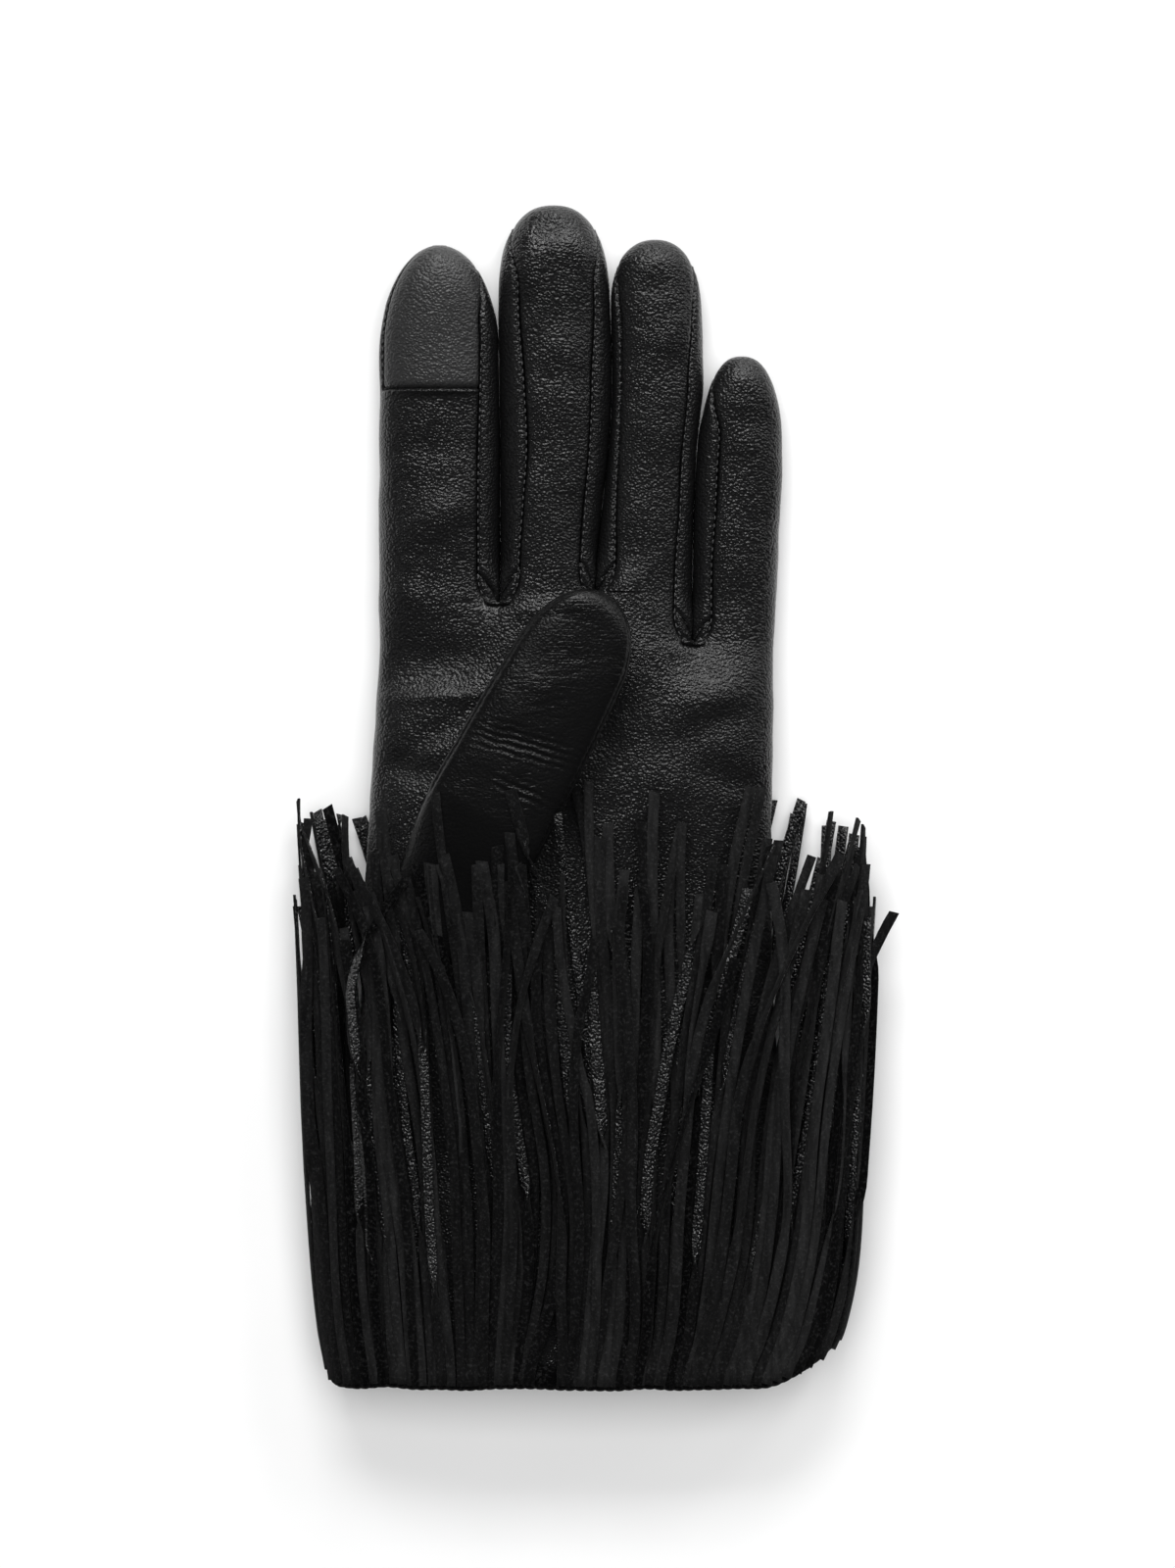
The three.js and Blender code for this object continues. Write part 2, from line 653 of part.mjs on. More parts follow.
// Point a share of the way round a fringe's section, measured along the section, from -X to +X.
function roundSection(section, side, share) {
  const steps = 48;
  const track = Array.from({ length: steps + 1 }, (_, i) =>
    sectionPoint(section, Math.PI * (1 - i / steps), side, handRound),
  );
  const lengths = [0];
  for (let i = 1; i <= steps; i++) {
    const step = Math.hypot(track[i].x - track[i - 1].x, track[i].z - track[i - 1].z);
    lengths.push(lengths[i - 1] + step);
  }
  const wanted = mix(sideClearance, 1 - sideClearance, share) * lengths[steps];
  const i = Math.max(1, lengths.findIndex((length) => length >= wanted));
  const t = (wanted - lengths[i - 1]) / (lengths[i] - lengths[i - 1]);
  return { x: mix(track[i - 1].x, track[i].x, t), z: mix(track[i - 1].z, track[i].z, t) };
}

// A point of the fringe; where the thumb's root lies under it, the palm rows are lifted over it.
function fringePoint(fringe, share, y) {
  const at = roundSection(fringeSection(fringe, y), fringe.side, share);
  let z = at.z;
  if (fringe.side > 0) {
    const { left, right, leftShoulder, rightShoulder, from, to } = overRoot;
    const over = smooth((at.x - left) / leftShoulder + 1) * smooth((right - at.x) / rightShoulder + 1);
    z += fringe.overThumb * over * smooth((y - from) / (to - from));
  }
  return new THREE.Vector3(at.x, y, z);
}

// Free end of a strip: those over the thumb stop at its root.
function stripTip(fringe, number) {
  const root = fringePoint(fringe, (number + 0.5) / fringe.strips, -30);
  const tip = fringe.tip + tipUneven * uneven(number, fringe.seed);
  const stopped = fringe.side > 0 && root.x > stoppedStrips.left && root.x < stoppedStrips.right;
  return stopped ? Math.min(tip, stoppedStrips.tip + uneven(number, fringe.seed)) : tip;
}

// A row of strips cut from one band of suede, like the teeth of a comb.
function fringeSolid(fringe) {
  const sheet = { points: [], faces: [] };
  const pitch = 1 / fringe.strips;
  const bandTop = fringeHem + headBand;
  const put = (share, y, stray = 0) => {
    const point = fringePoint(fringe, clamp01(share), y);
    return sheet.points.push(point.setX(point.x + stray)) - 1;
  };
  const bandLow = [];
  const bandHigh = [];
  for (let number = 0; number < fringe.strips; number++) {
    const middle = (number + 0.5) * pitch;
    for (const edge of [-1, 1]) {
      const share = middle + (edge * pitch * stripShare) / 2;
      bandLow.push(put(share, fringeHem));
      bandHigh.push(put(share, bandTop));
    }
    const tip = stripTip(fringe, number);
    const lean = uneven(number, fringe.seed + 3) * pitch * 0.12;
    const stray = number === 0 ? fringe.stray[0] : number === fringe.strips - 1 ? fringe.stray[1] : 0;
    const rows = stripRows[fringe.side].filter((y) => y < tip - 4);
    let low = bandHigh.slice(-2);
    for (const y of [...rows, tip]) {
      const reach = (y - bandTop) / (tip - bandTop);
      const half = (pitch * stripShare * mix(1, stripTaper, reach)) / 2;
      const shift = middle + lean * reach * reach;
      const out = stray * power(clamp01((y - fringe.strayFrom) / (tip - fringe.strayFrom)), 2);
      const high = [put(shift - half, y, out), put(shift + half, y, out)];
      addStrip(sheet, high, low, fringe.side > 0);
      low = high;
    }
  }
  addStrip(sheet, bandHigh, bandLow, fringe.side > 0);
  return thicken(sheet, suede);
}

const wasm = await Module();
wasm.setup();

// A geometry as a solid that can be cut.
function toSolid(geometry) {
  const merged = mergeVertices(geometry, 1e-4);
  return new wasm.Manifold(
    new wasm.Mesh({
      numProp: 3,
      vertProperties: merged.getAttribute("position").array,
      triVerts: new Uint32Array(merged.index.array),
    }),
  );
}

function toGeometry(solid) {
  const mesh = solid.getMesh();
  const geometry = new THREE.BufferGeometry();
  geometry.setAttribute("position", new THREE.BufferAttribute(mesh.vertProperties, 3));
  return geometry.setIndex(new THREE.BufferAttribute(mesh.triVerts, 1));
}

// The upright oval that is cut out of the palm inside the thumb's seam.
function thumbHole() {
  const { along, across, halfLength, halfWidth } = thumb.hole;
  const inside = leather + 0.3;
  const oval = new THREE.Shape();
  const place = besideThumb(along, across);
  const turn = Math.atan2(thumb.direction.y, thumb.direction.x);
  oval.absellipse(place.x, place.y, halfLength - inside, halfWidth - inside, 0, 2 * Math.PI, false, turn);
  const geometry = new THREE.ExtrudeGeometry(oval, { depth: 30, bevelEnabled: false, curveSegments: 20 });
  geometry.deleteAttribute("normal");
  geometry.deleteAttribute("uv");
  return geometry.translate(0, 0, 12);
}

function palmPanel() {
  const rows = (index, y) => index !== 0 || y <= patchEdge;
  const sheet = thicken(panelSheet(1, [0, 1, 2, 3], rows), leather);
  return toGeometry(toSolid(sheet).subtract(toSolid(thumbHole())));
}

function backPanel() {
  return thicken(panelSheet(-1, [0, 1, 2, 3], () => true), leather);
}

function fingertipPatch() {
  return thicken(panelSheet(1, [0], (index, y) => y > patchEdge), leather);
}

const leatherLook = new THREE.MeshStandardMaterial({ color: 0x17171a, roughness: 0.42, metalness: 0 });
const patchLook = new THREE.MeshStandardMaterial({ color: 0x1d1d20, roughness: 0.5, metalness: 0 });
const suedeLook = new THREE.MeshStandardMaterial({ color: 0x0c0c0d, roughness: 0.95, metalness: 0 });

const glove = new THREE.Group();

function add(name, geometry, look) {
  geometry.computeVertexNormals();
  const mesh = new THREE.Mesh(geometry, look.clone());
  mesh.name = name;
  glove.add(mesh);
}

add("palm_panel", palmPanel(), leatherLook);
add("back_panel", backPanel(), leatherLook);
add("fingertip_patch", fingertipPatch(), patchLook);
add("thumb", thumbSolid(), leatherLook);
gaps.forEach((gap, gapIndex) => {
  add("fourchette_" + gap.name, fourchette(gapIndex), leatherLook);
  add("gusset_" + gap.name, gusset(gapIndex), leatherLook);
});
for (const fringe of fringes) add(fringe.name, fringeSolid(fringe), suedeLook);

export default glove;
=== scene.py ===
import math
from types import SimpleNamespace

import bpy
import numpy as np
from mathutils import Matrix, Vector, noise
from mathutils.bvhtree import BVHTree
from mathutils.kdtree import KDTree


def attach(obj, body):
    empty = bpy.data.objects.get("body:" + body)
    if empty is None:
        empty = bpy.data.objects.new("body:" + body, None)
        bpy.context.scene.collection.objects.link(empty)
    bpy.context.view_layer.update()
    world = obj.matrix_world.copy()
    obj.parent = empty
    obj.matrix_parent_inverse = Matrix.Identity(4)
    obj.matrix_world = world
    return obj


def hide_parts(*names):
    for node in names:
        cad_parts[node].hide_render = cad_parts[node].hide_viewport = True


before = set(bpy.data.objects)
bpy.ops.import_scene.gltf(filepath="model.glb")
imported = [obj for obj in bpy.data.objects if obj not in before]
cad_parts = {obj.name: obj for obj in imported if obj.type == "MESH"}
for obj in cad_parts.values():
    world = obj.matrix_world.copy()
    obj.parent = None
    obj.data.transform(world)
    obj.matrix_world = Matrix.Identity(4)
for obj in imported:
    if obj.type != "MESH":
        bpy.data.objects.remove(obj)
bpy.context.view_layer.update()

MM = 0.001
TOUCH = 1e-3  # distance up to which two places count as one
RIGHT, LEFT = 1, 0  # ends of a finger's panel: towards the little finger, and away from it
PALM, BACK = 1, -1


def table(columns, *rows):
    """Named columns of numbers, a row for each place."""
    return {name: np.array([row[i] for row in rows], float) for i, name in enumerate(columns.split())}


# Driving dimensions of the leather shell, which has the form of the solid model.
LEATHER = 0.9  # thickness of the leather, without the lining that the solids' walls include
FINGER_GAP = 0.12  # clearance between two fingers side by side
HEM = -126.0  # y of the open end of the cuff
HIDDEN_CORNER = 5.0  # how much further up the leather ends at the +X corner, where the band is rounded
CORNER_START = SimpleNamespace(x=36, width=12, y=-100)  # where that corner begins
PATCH_EDGE = 87.3  # y of the seam below the index fingertip patch
FINGER_ROUND = 2.3  # how square a finger's section is, 2 being an ellipse
HAND_ROUND = 2.7
BACK_ROUND = 3.0
FLATTENING = 1.12  # how much of the underside is pressed flat
FLAT_EDGE = 0.08  # how softly the pressed area begins, as a share of the height
SEAM_START = 4.0  # distance below a fingertip at which its seams leave the outline
SEAM_TURN = 14.0  # length over which they do so
TIP_CALM = 3.5  # distance below a fingertip over which its leather is smooth
TIP_LEAST = 0.12  # share of its width that a fingertip keeps at its very end
CROTCH_ROUND = 5.5  # length of the round end of a seam between two fingers
CROTCH_BLUNT = (2, 0.5)  # powers that give that end its form
CROTCH_SWELL = 2.0  # how much wider a finger's section is at the crotch
CROTCH_SWELL_LENGTH = 10  # distance above the crotch over which it is so
FURROW_SWELL = 4.5  # how much wider still it is below the crotch, which makes the furrow shallow
FURROW_SWELL_LENGTH = 7
FURROW = 2.5  # roundness of the furrow below a crotch
FURROW_START = 2.5  # distance below the crotch over which its roundness sets in
FURROW_REACH = SimpleNamespace(whole=8, fade=10)  # how far to either side it is rounded
BLEND_ABOVE = 6.0  # distances above and below a crotch between which the fingers blend into the hand
BLEND_BELOW = 14.0
STEP_LENGTH = 5  # distance above a crotch over which the step between two panels runs out
STEP_POWER = 3  # how close to the border a panel takes up its part of that step
DOME_LENGTH = 14.0
TIP_BLUNT = 2.7  # how steeply a fingertip's upper side turns down at its end
BACK_SEAM_INSET = 4.0
PATCH_WRAP = 0.33  # angle between the patch's outer seam and the index finger's side
PATCH_WRAP_FROM = 52  # y above which that angle opens
PATCH_WRAP_LENGTH = 20

# Edges of the fingers, hand and cuff seen from above.
OUTLINE = table(
    "y index_side index_middle middle_ring ring_little little_side",
    (118, -44.6, -19.4, 4.7, 24.5, 41.2),
    (89, -44.9, -19.1, 5.3, 25.1, 41.7),
    (75, -45.1, -18.9, 4.6, 23.7, 42.1),
    (62, -45.1, -18.9, 3.2, 23.0, 41.7),
    (48, -45.1, -18.9, 1.8, 22.7, 41.0),
    (33, -45.1, -19.0, 1.6, 22.6, 40.4),
    (10, -46.2, -20.0, 0.6, 21.4, 40.0),
    (-30, -48.2, -22.0, -2.0, 19.0, 39.8),
    (-70, -49.8, -24.0, -2.8, 18.5, 42.0),
    (-126, -52.6, -27.0, -2.8, 22.0, 47.3),
)

# Heights above the table: the fold down each side, the top of the palm and cuff, and the underside.
HEIGHTS = table(
    "y side top bottom",
    (60, 6.6, 15.0, 0),
    (42, 6.8, 16.0, 0),
    (30, 7.5, 17.4, 0),
    (20, 8.3, 18.6, 0),
    (7, 9.6, 19.8, 2.8),
    (-18, 11.2, 21.2, 2.8),
    (-60, 12.2, 22.6, 2.8),
    (-126, 12.6, 23.2, 2.8),
)

FINGERS = [
    dict(left="index_side", right="index_middle", tip=118.4, tip_length=22, blunt=2.0, height=14.0),
    dict(left="index_middle", right="middle_ring", tip=127.0, tip_length=21, blunt=2.4, height=14.5),
    dict(left="middle_ring", right="ring_little", tip=119.6, tip_length=16, blunt=2.3, height=13.5),
    dict(left="ring_little", right="little_side", tip=94.4, tip_length=19, blunt=2.4, height=12.5),
]

GAPS = [
    {"edge": "index_middle", PALM: 41.4, BACK: 25.5},
    {"edge": "middle_ring", PALM: 43.3, BACK: 24.5},
    {"edge": "ring_little", PALM: 32.8, BACK: 18.5},
]
LAST = len(FINGERS) - 1  # the little finger's number

# How far in from the edge between two fingers the palm's seam runs on the finger before it and after it.
SEAMS = table(
    "y index_middle_0 index_middle_1 middle_ring_0 middle_ring_1 ring_little_0 ring_little_1",
    (105, 3.4, 4.2, 3.1, 1.6, 1.8, 3.4),
    (88, 3.8, 5.2, 4.1, 1.5, 3.0, 3.5),
    (75, 4.3, 5.6, 3.9, 1.7, 2.8, 4.4),
    (62, 4.5, 4.8, 3.5, 2.6, 2.8, 4.4),
    (48, 4.4, 3.9, 3.1, 3.8, 3.5, 3.8),
)

# Creases and, with a depth below 0, ridges of the palm leather.
FOLDS = table(
    "x y turn length width depth",
    (-32.5, 86.45, 0, 9, 0.6, -0.6),
    (-33, 27.5, 6, 15, 6, 1.9),
    (-29, 14.5, 36, 14, 3.6, 1.2),
    (-38, 5, -12, 10, 3.4, 0.9),
    (25, 14, 24, 14, 4.2, 0.9),
    (30, 3, -18, 12, 4, 0.8),
    (22, -62, 5, 30, 8, 1.1),
    (-20, -80, -8, 28, 8, 1.1),
    (-34, 20.8, 2, 12, 1.5, -0.5),
    (-32, 9.5, 30, 8, 1.6, -0.5),
    (-38, 42, -10, 10, 3.4, -0.6),
    (-10, 39, -8, 9, 2.4, -0.6),
    (9, 45, 40, 8, 3.2, -0.6),
    (29, 20, 16, 13, 7, -0.9),
    (5, 8, 0, 9, 16, 1.6),
    (14, 20, 0, 7, 9, 1.0),
    (18, -20, -3, 24, 24, 3.2),
    (-26, 30, 0, 10, 7, 0.9),
    (-31, 60, 28, 9, 4.5, -0.8),
    (-36, 74, 0, 7, 3, 0.4),
    (-7.5, 121.0, 0, 5, 2.6, 0.7),
    (-7, 124.8, 0, 6, 1.0, -0.25),
    (-1.2, 116, -62, 6, 2.2, -0.45),
    (-12.6, 114, 84, 7, 2, -0.4),
    (-7, 104, 0, 8, 5, 0.35),
    (-7, 90, 0, 8, 4, 0.35),
    (15, 109, 0, 6, 3, 0.35),
    (16, 92, 0, 9, 4, 0.35),
    (19, 99, 60, 6, 2.4, -0.3),
    (33.5, 89, -10, 4, 1.8, -0.35),
    (34, 80, 0, 8, 4, 0.3),
)

# Groups of fine creases across the palm: middle, direction, how many, how far apart, length and depth.
PALM_CREASES = table(
    "x y turn count pitch length depth",
    (-34, 83.5, 0, 3, 1.5, 8, 0.16),
    (-3, 81.5, -14, 5, 1.1, 3.2, 0.14),
    (17.5, 87.5, 12, 3, 1.4, 3.2, 0.14),
    (17.5, 80.5, 10, 3, 1.4, 3.2, 0.12),
    (16, 103.5, 14, 4, 1.5, 5, 0.12),
    (34, 72, 8, 4, 1.6, 5, 0.1),
    (-30, 66, 24, 5, 1.8, 7, 0.1),
    (-34, 24.5, 4, 3, 1.5, 9, 0.14),
    (14, 117, 0, 3, 1.2, 4, 0.12),
    (-11, 31, 4, 4, 1.7, 5, 0.1),
    (33, 36, 30, 5, 2.0, 8, 0.1),
)

# The thumb.
THUMB_START = (-22.7, -7.2)
THUMB_DIRECTION = (0.475, 0.88)
THUMB_LENGTH = 56.4
THUMB_TIP_LENGTH = 17.5
THUMB_TIP_BLUNT = 2
THUMB_THICKNESS = 11.8
THUMB_CLEARANCE = 0.6
THUMB_FULL = 3.0  # where it has its full section
THUMB_DOME = (6.5, 3.0)  # length and bluntness of its tip seen from the side
THUMB_LEAST = SimpleNamespace(width=0.1, thickness=0.06)  # of the tip's last ring, as shares of the full ones
THUMB_TIP_LIFT = 0.42  # share of the thickness lost at the tip that is lost on its underside
THUMB_SIDE_POWER = 0.88  # how boxy its section is to the sides
THUMB_TOP_FLAT = 0.33  # power of its section's upper half: the lower, the flatter
THUMB_UNDER_FLAT = 0.8
THUMB_PALM_END = 38  # y beyond which the palm below it counts as level
THUMB_RISE = SimpleNamespace(even=0.3, early=0.7, power=0.8)  # how it rises from the hole to its full section
THUMB_HOLE = SimpleNamespace(along=-17, across=1.2, half_length=14, half_width=12.6)
THUMB_HOLE_LIP = 2  # how far the palm's leather runs on inside the seam round the hole
THUMB_BASE_RISE = 0.1  # height of that seam above the palm
THUMB_WIDTHS = table("along half", (-20, 13.9), (6, 13.7), (24, 13.2), (40, 12.4), (57, 12.2))
THUMB_SEAM = 0.3  # angle above the thumb's sides at which its seam runs round it
THUMB_SEAM_SHARE = 0.5  # depth of that seam, as a share of the other seams'
THUMB_TIP_BARE = 2  # distance from its tip up to which the seam doesn't show
THUMB_TIP_CALM = 5.0  # length over which the seam sets in from there

# Groups of fine creases across the thumb: middle, direction, how many, how far apart, length and depth.
THUMB_CREASES = table(
    "x y turn count pitch length depth",
    (-13.5, 10.0, -15, 5, 1.5, 9, 0.62),
    (-14.0, 0.2, -24, 3, 1.7, 6, 0.4),
    (-9.0, 18.0, 12, 4, 1.8, 7, 0.16),
    (-2.0, 27.0, 10, 3, 2.2, 5, 0.1),
)
CREASE_STRAY = 0.5  # how far fine creases stray from straight lines
CREASE_NOISE = SimpleNamespace(size=3.5, seed=6)
CREASE_EXTENT = 0.4  # distance across a group over which it fades, as a share of its width

# Dents of the leather: the height, size and seed of each noise. The hide's are multiplied by its dent depth.
HIDE_DENTS = ((1, 15, 1), (0.5, 6.5, 2))
WALL_DENTS = ((0.12, 7, 3),)
THUMB_DENTS = ((0.25, 14, 4), (0.1, 5, 5))
HIDE_DENT_DEPTH = 0.4
PATCH_DENT_DEPTH = 0.2
DENT_HEIGHT = 3  # height above the table up to which the hide's dents fade in

# Seams: a narrow groove, the roll of the leather towards it, and the stitches along it.
GROOVE_DEPTH = 0.75
GROOVE_WIDTH = 0.38
ROLL_DEPTH = 0.4
ROLL_WIDTH = 2.0
PUCKER = 0.09
PUCKER_WIDTH = 0.9
UPRIGHT_SHARE = 0.25  # share of its depth that a seam keeps where the leather stands upright
LEVEL_GAIN = 1.5  # how soon the leather counts as level as it leans over
SEAM_SAMPLING = 0.25  # distance between the points that stand for a seam
STITCH_START = 5.0  # distance below a fingertip from which the seams show stitches
STITCH_PITCH = 1.7
STITCH_LENGTH = 0.85
STITCH_RADIUS = 0.13
STITCH_SIDES = 6
STITCH_SINK = 0.1  # how deep a stitch lies below the leather beside the seam
STITCH_FORM = ((-0.5, 0.35), (-0.32, 1), (0.32, 1), (0.5, 0.35))  # place along it and thickness, as shares

# The walls between the fingers, which have a fourchette below and a gusset on top.
GUSSET_REACH = 0.085  # share of a leg's length that the gusset spans
GUSSET_DEPTH = 0.62  # share of the web's height that it closes at the crotch
GUSSET_POWER = 0.8  # how evenly that share shrinks along the leg
GUSSET_END = 0.97  # share of its reach at which the gusset's mesh ends
WALL_LEATHER = 0.7  # thickness of the walls, as a share of the other leather's
LEG_CROWDING = 1.7  # power by which a leg's rows crowd towards the crotch

# Fineness of the meshes.
ROW_STEP = 0.62
LEAST_STEP = 0.03
DENSE_ROWS = 8
DENSE_CLEARANCE = 0.4  # share of a row step that an even row keeps from the dense ones
EDGE_EVENNESS = 0.25  # how evenly a panel's columns lie, 1 being quite even
PANEL_COLUMNS = {PALM: 26, BACK: 15}
SHARED_FROM = 48.0  # below this all four fingers have the same rows
CUFF_FROM = -12.0  # below this, where the fringe hides the leather, rows lie further apart
CUFF_STEP = 3.0
FOURCHETTE_GRID = (80, 18)  # rows of a leg and columns
GUSSET_GRID = (14, 12)
GUSSET_SEAM_ROWS = 12
THUMB_SIDES = 112  # points round the thumb
THUMB_BASE_ROWS = 17  # between the hole and the full section
THUMB_STEP = 0.42
THUMB_TIP = SimpleNamespace(rows=12, step=0.9, end=0.02, clearance=0.2)  # its dense rows, up to the cap

# Rows about the patch's lower seam, as distances below it.
LIP_ROWS = np.array([0, 0.12, 0.24, 0.36, 0.5, 0.65, 0.8, 1.0, 1.25, -0.15, -0.35])

# The fringe: four rows of strands cut from bands that are sewn round the hem.
STRAND_WIDTH = 2.15
STRAND_WIDTHS = (0.85, 1.2)  # range of their widths, as shares of that one
STRAND_THICKNESS = 0.62
STRANDS = 54  # in a row
STRAND_STATIONS = 40
STRAND_SLANT = 0.3  # greatest slant of a strand's cut end, as a share of its width
LIGHTEST = 0.85  # greatest shade of a strand
ROOT_LENGTH = 0.22  # share of a strand's length over which it leaves the band
ROOT_RISE = 0.5  # distance from the hem to the strands' roots
ROW_ENDS = (0.004, 0.996)  # shares of the way round between which the strands stay
FRINGE_HEM = -127.0
WAY_Y = -70.0  # y of the section round which a row's places are measured
WAY_POINTS = 241
BAND_SINK = 0.25  # how far the band's face lies below the middle of the strands
BAND_THICKNESS = 0.8  # of the band, as a share of the strands'
BAND_STEPS = 6  # columns of the band for each strand
BAND_ENDS = (0.002, 0.998)
LONG_FOLD_ROWS = 5  # rows of the fold that a long row's band has
CUT_BULGE = 0.35  # how far the band bulges between two cuts
CUT_SHIFT = 0.3  # how far its edge is drawn down there
CUT_REACH = 2  # distance from the hem up to which it is
FRINGE_EDGES = table(
    "y left right",
    (6, -64.2, 60.6),
    (-6, -64, 61.2),
    (-30, -62.6, 61),
    (-75, -61, 59.4),
    (-100, -59.4, 58.2),
    (-115, -57.8, 55.2),
    (-127, -55.9, 50.6),
)

# The rows: height above the cuff or the table, how many strands lie over each other and how far apart,
# distance from the edges, y of the tips, share of TIP_DROP, unevenness, share of shortened ones, and seed.
FRINGE_COLUMNS = "name side level layers layer inset tip drop uneven cut_short seed".split()
FRINGE_ROWS = (
    ("fringe_palm_long", PALM, 0.5, 2, 0.72, 1.6, 0.5, 1.0, 2.5, 0.5, 11),
    ("fringe_palm_short", PALM, 2.1, 4, 0.85, 0, -17, 0.4, 4.5, 0.35, 23),
    ("fringe_back_long", BACK, 1.85, 2, 0.35, 1.6, -1.5, 1.0, 1.8, 0.3, 37),
    ("fringe_back_short", BACK, 0.85, 2, -0.4, 0, -25, 0.4, 4, 0.3, 41),
)
FRINGES = [dict(zip(FRINGE_COLUMNS, row)) for row in FRINGE_ROWS]

# The band's profile from its upper edge down round the hem: distance above the hem, and depth below its face.
BAND_FOLD = table(
    "forward inward",
    (4.5, 0),
    (2.6, -0.05),
    (1.1, 0.1),
    (0.2, 0.5),
    (-0.3, 1.2),
    (-0.45, 2.2),
    (-0.2, 3.2),
    (0.6, 4.0),
    (2.4, 4.3),
    (7.0, 4.4),
)
BAND_END = SimpleNamespace(start=0.88, length=0.12, deeper=1.2)  # where the fold grows deeper at +X
BAND_JOINT = 0.44  # share of the way across the palm at which the band's ends meet
JOINT_OPENING = 0.03  # how far the strands beside the joint are spread there

# The hem's rounded corners: where each starts, its length, its height and how late it rises.
RIGHT_CORNER = SimpleNamespace(start=0.82, length=0.18, height=11, power=2.6)
LEFT_CORNER = SimpleNamespace(start=0.04, length=0.04, height=4, power=2)
HEM_WAVES = 14  # waves of the hem's unevenness
HEM_UNEVEN = 0.5

# How single strands differ.
SHORTENED = (5, 13)  # by how much a shortened strand ends earlier
LEAN_SPREAD = 2.2
STRAY_SHARE = 0.12  # share of strands that lean over the others
STRAY_LEAN = (4, 10)
BY_THUMB = SimpleNamespace(first=0.22, last=0.44, every=4, kept=1, tip=-15)  # most strands end there
LOOSE_LAYER = (0.6, 0.08)  # height of the first loose strand above the others, and of each over the last
LOOSE_POWER = 1.6  # how late a stray strand leaves its line
CLUMPS = ((4.2, 5, 1.6, 0), (2.8, 15, 2.2, 7.5))  # reach, waves across and along, and seed of each noise
HELD_SHARE = 0.14  # share of its bends that a strand has at its root
FREE_FROM = 0.5  # share of its length from which it has them all
EDGE_CALM = 0.6  # how much smaller the clumps are at a row's edges
EDGE_FLAT = 0.1  # share of a row's half width, from its edges, over which strands don't turn yet
BEND_SPREAD = 1.1
BEND_WAVE = 4  # angle through which a bend's wave runs along a strand
CURL_SPREAD = 1.3
CURL_START = 0.75
FAN_POWER = 2.1  # how late the strands fan out

# How strands turn about their own line.
TURN_START = (0.1, 0.7)
TURN_REACH = (0.25, 0.6)
TURN_LENGTH = 0.13
EDGE_TURN = (0.6, 1.4)
EDGE_KIND = 0.35  # share of the strands that lie on edge for a while
OVER_KIND = 0.74  # share above which the others are turned over
WAVER = 0.2  # how far each strand's turn wavers
WAVER_WAVE = 5  # angle through which its wave runs along a strand
WAVER_FROM = 0.3

# How the strands lie on the thumb's root.
COVER_FROM = -60  # y above which they can meet it
COVER_CLEARANCE = 0.6
COVER_SLOPE = 0.5
ABOVE_ALL = 80  # height from which the thumb is looked for

# A strand's section: shares of half its width and of half its thickness.
STRAND_SECTION = ((1, 0.5), (0.86, 1), (-0.86, 1), (-1, 0.5), (-1, -0.5), (-0.86, -1), (0.86, -1), (1, -0.5))
GRAINED_SIDES = (4, 5, 6)

# How far the strands' tips lean sideways over the width of a row.
FAN = table(
    "share lean",
    (0, -0.5),
    (0.1, -6),
    (0.28, -8),
    (0.42, -2),
    (0.55, 2),
    (0.68, 9),
    (0.82, 13),
    (0.93, 8),
    (1, 1),
)

# How much lower than elsewhere the strands end over the width of a row.
TIP_DROP = table(
    "share drop",
    (0, 7),
    (0.05, 4.5),
    (0.15, 3.5),
    (0.3, 1.5),
    (0.45, 0),
    (0.72, 0.5),
    (0.8, 3.5),
    (0.88, 6.5),
    (0.93, 9),
    (0.97, 13),
    (1, 19),
)

# Single strands that stray over their neighbours: root, y of the tip, lean, where on the strand it starts,
# and how far the tip sticks out of the row.
LOOSE_STRANDS = table(
    "root tip lean start out",
    (0.135, -18.5, 16, 0.76, 0),
    (0.985, -25.5, 0, 0.86, 4.6),
    (0.975, -22.5, 0, 0.8, 0.6),
    (0.52, -24, -9, 0.1, 0),
    (0.6, -27, -14, 0.2, 0),
    (0.37, -22, 11, 0.25, 0),
    (0.2, -16, -5, 0.4, 0),
    (0.82, -19, -12, 0.3, 0),
    (0.72, -13, 15, 0.5, 0),
    (0.66, -11, 12, 0.55, 0),
    (0.25, -14, -11, 0.6, 0),
    (0.62, -35, 9, 0.3, 0),
    (0.48, -31, 7, 0.5, 0),
    (0.33, -29, -8, 0.6, 0),
)

# Leathers: dark and light tone, roughness, shine, and how strong the grain and the creases are.
LEATHERS = {
    "black_leather": ((0.004, 0.004, 0.0042), (0.006, 0.006, 0.0062), 0.3, 0.42, 0.62, 0.15),
    "patch_leather": ((0.014, 0.014, 0.0143), (0.02, 0.02, 0.0203), 0.4, 0.5, 0.6, 0.15),
    # The thumb's leather is the glove's own, given a darker tone and less shine: painted shade for a thumb
    # that lies flat and catches little light.
    "thumb_leather_painted_shade": ((0.002, 0.002, 0.0021), (0.0038, 0.0038, 0.0039), 0.31, 0.2, 0.25, 0.22),
}
ROUGHNESS_SWING = 0.05  # by which a leather's roughness differs from place to place

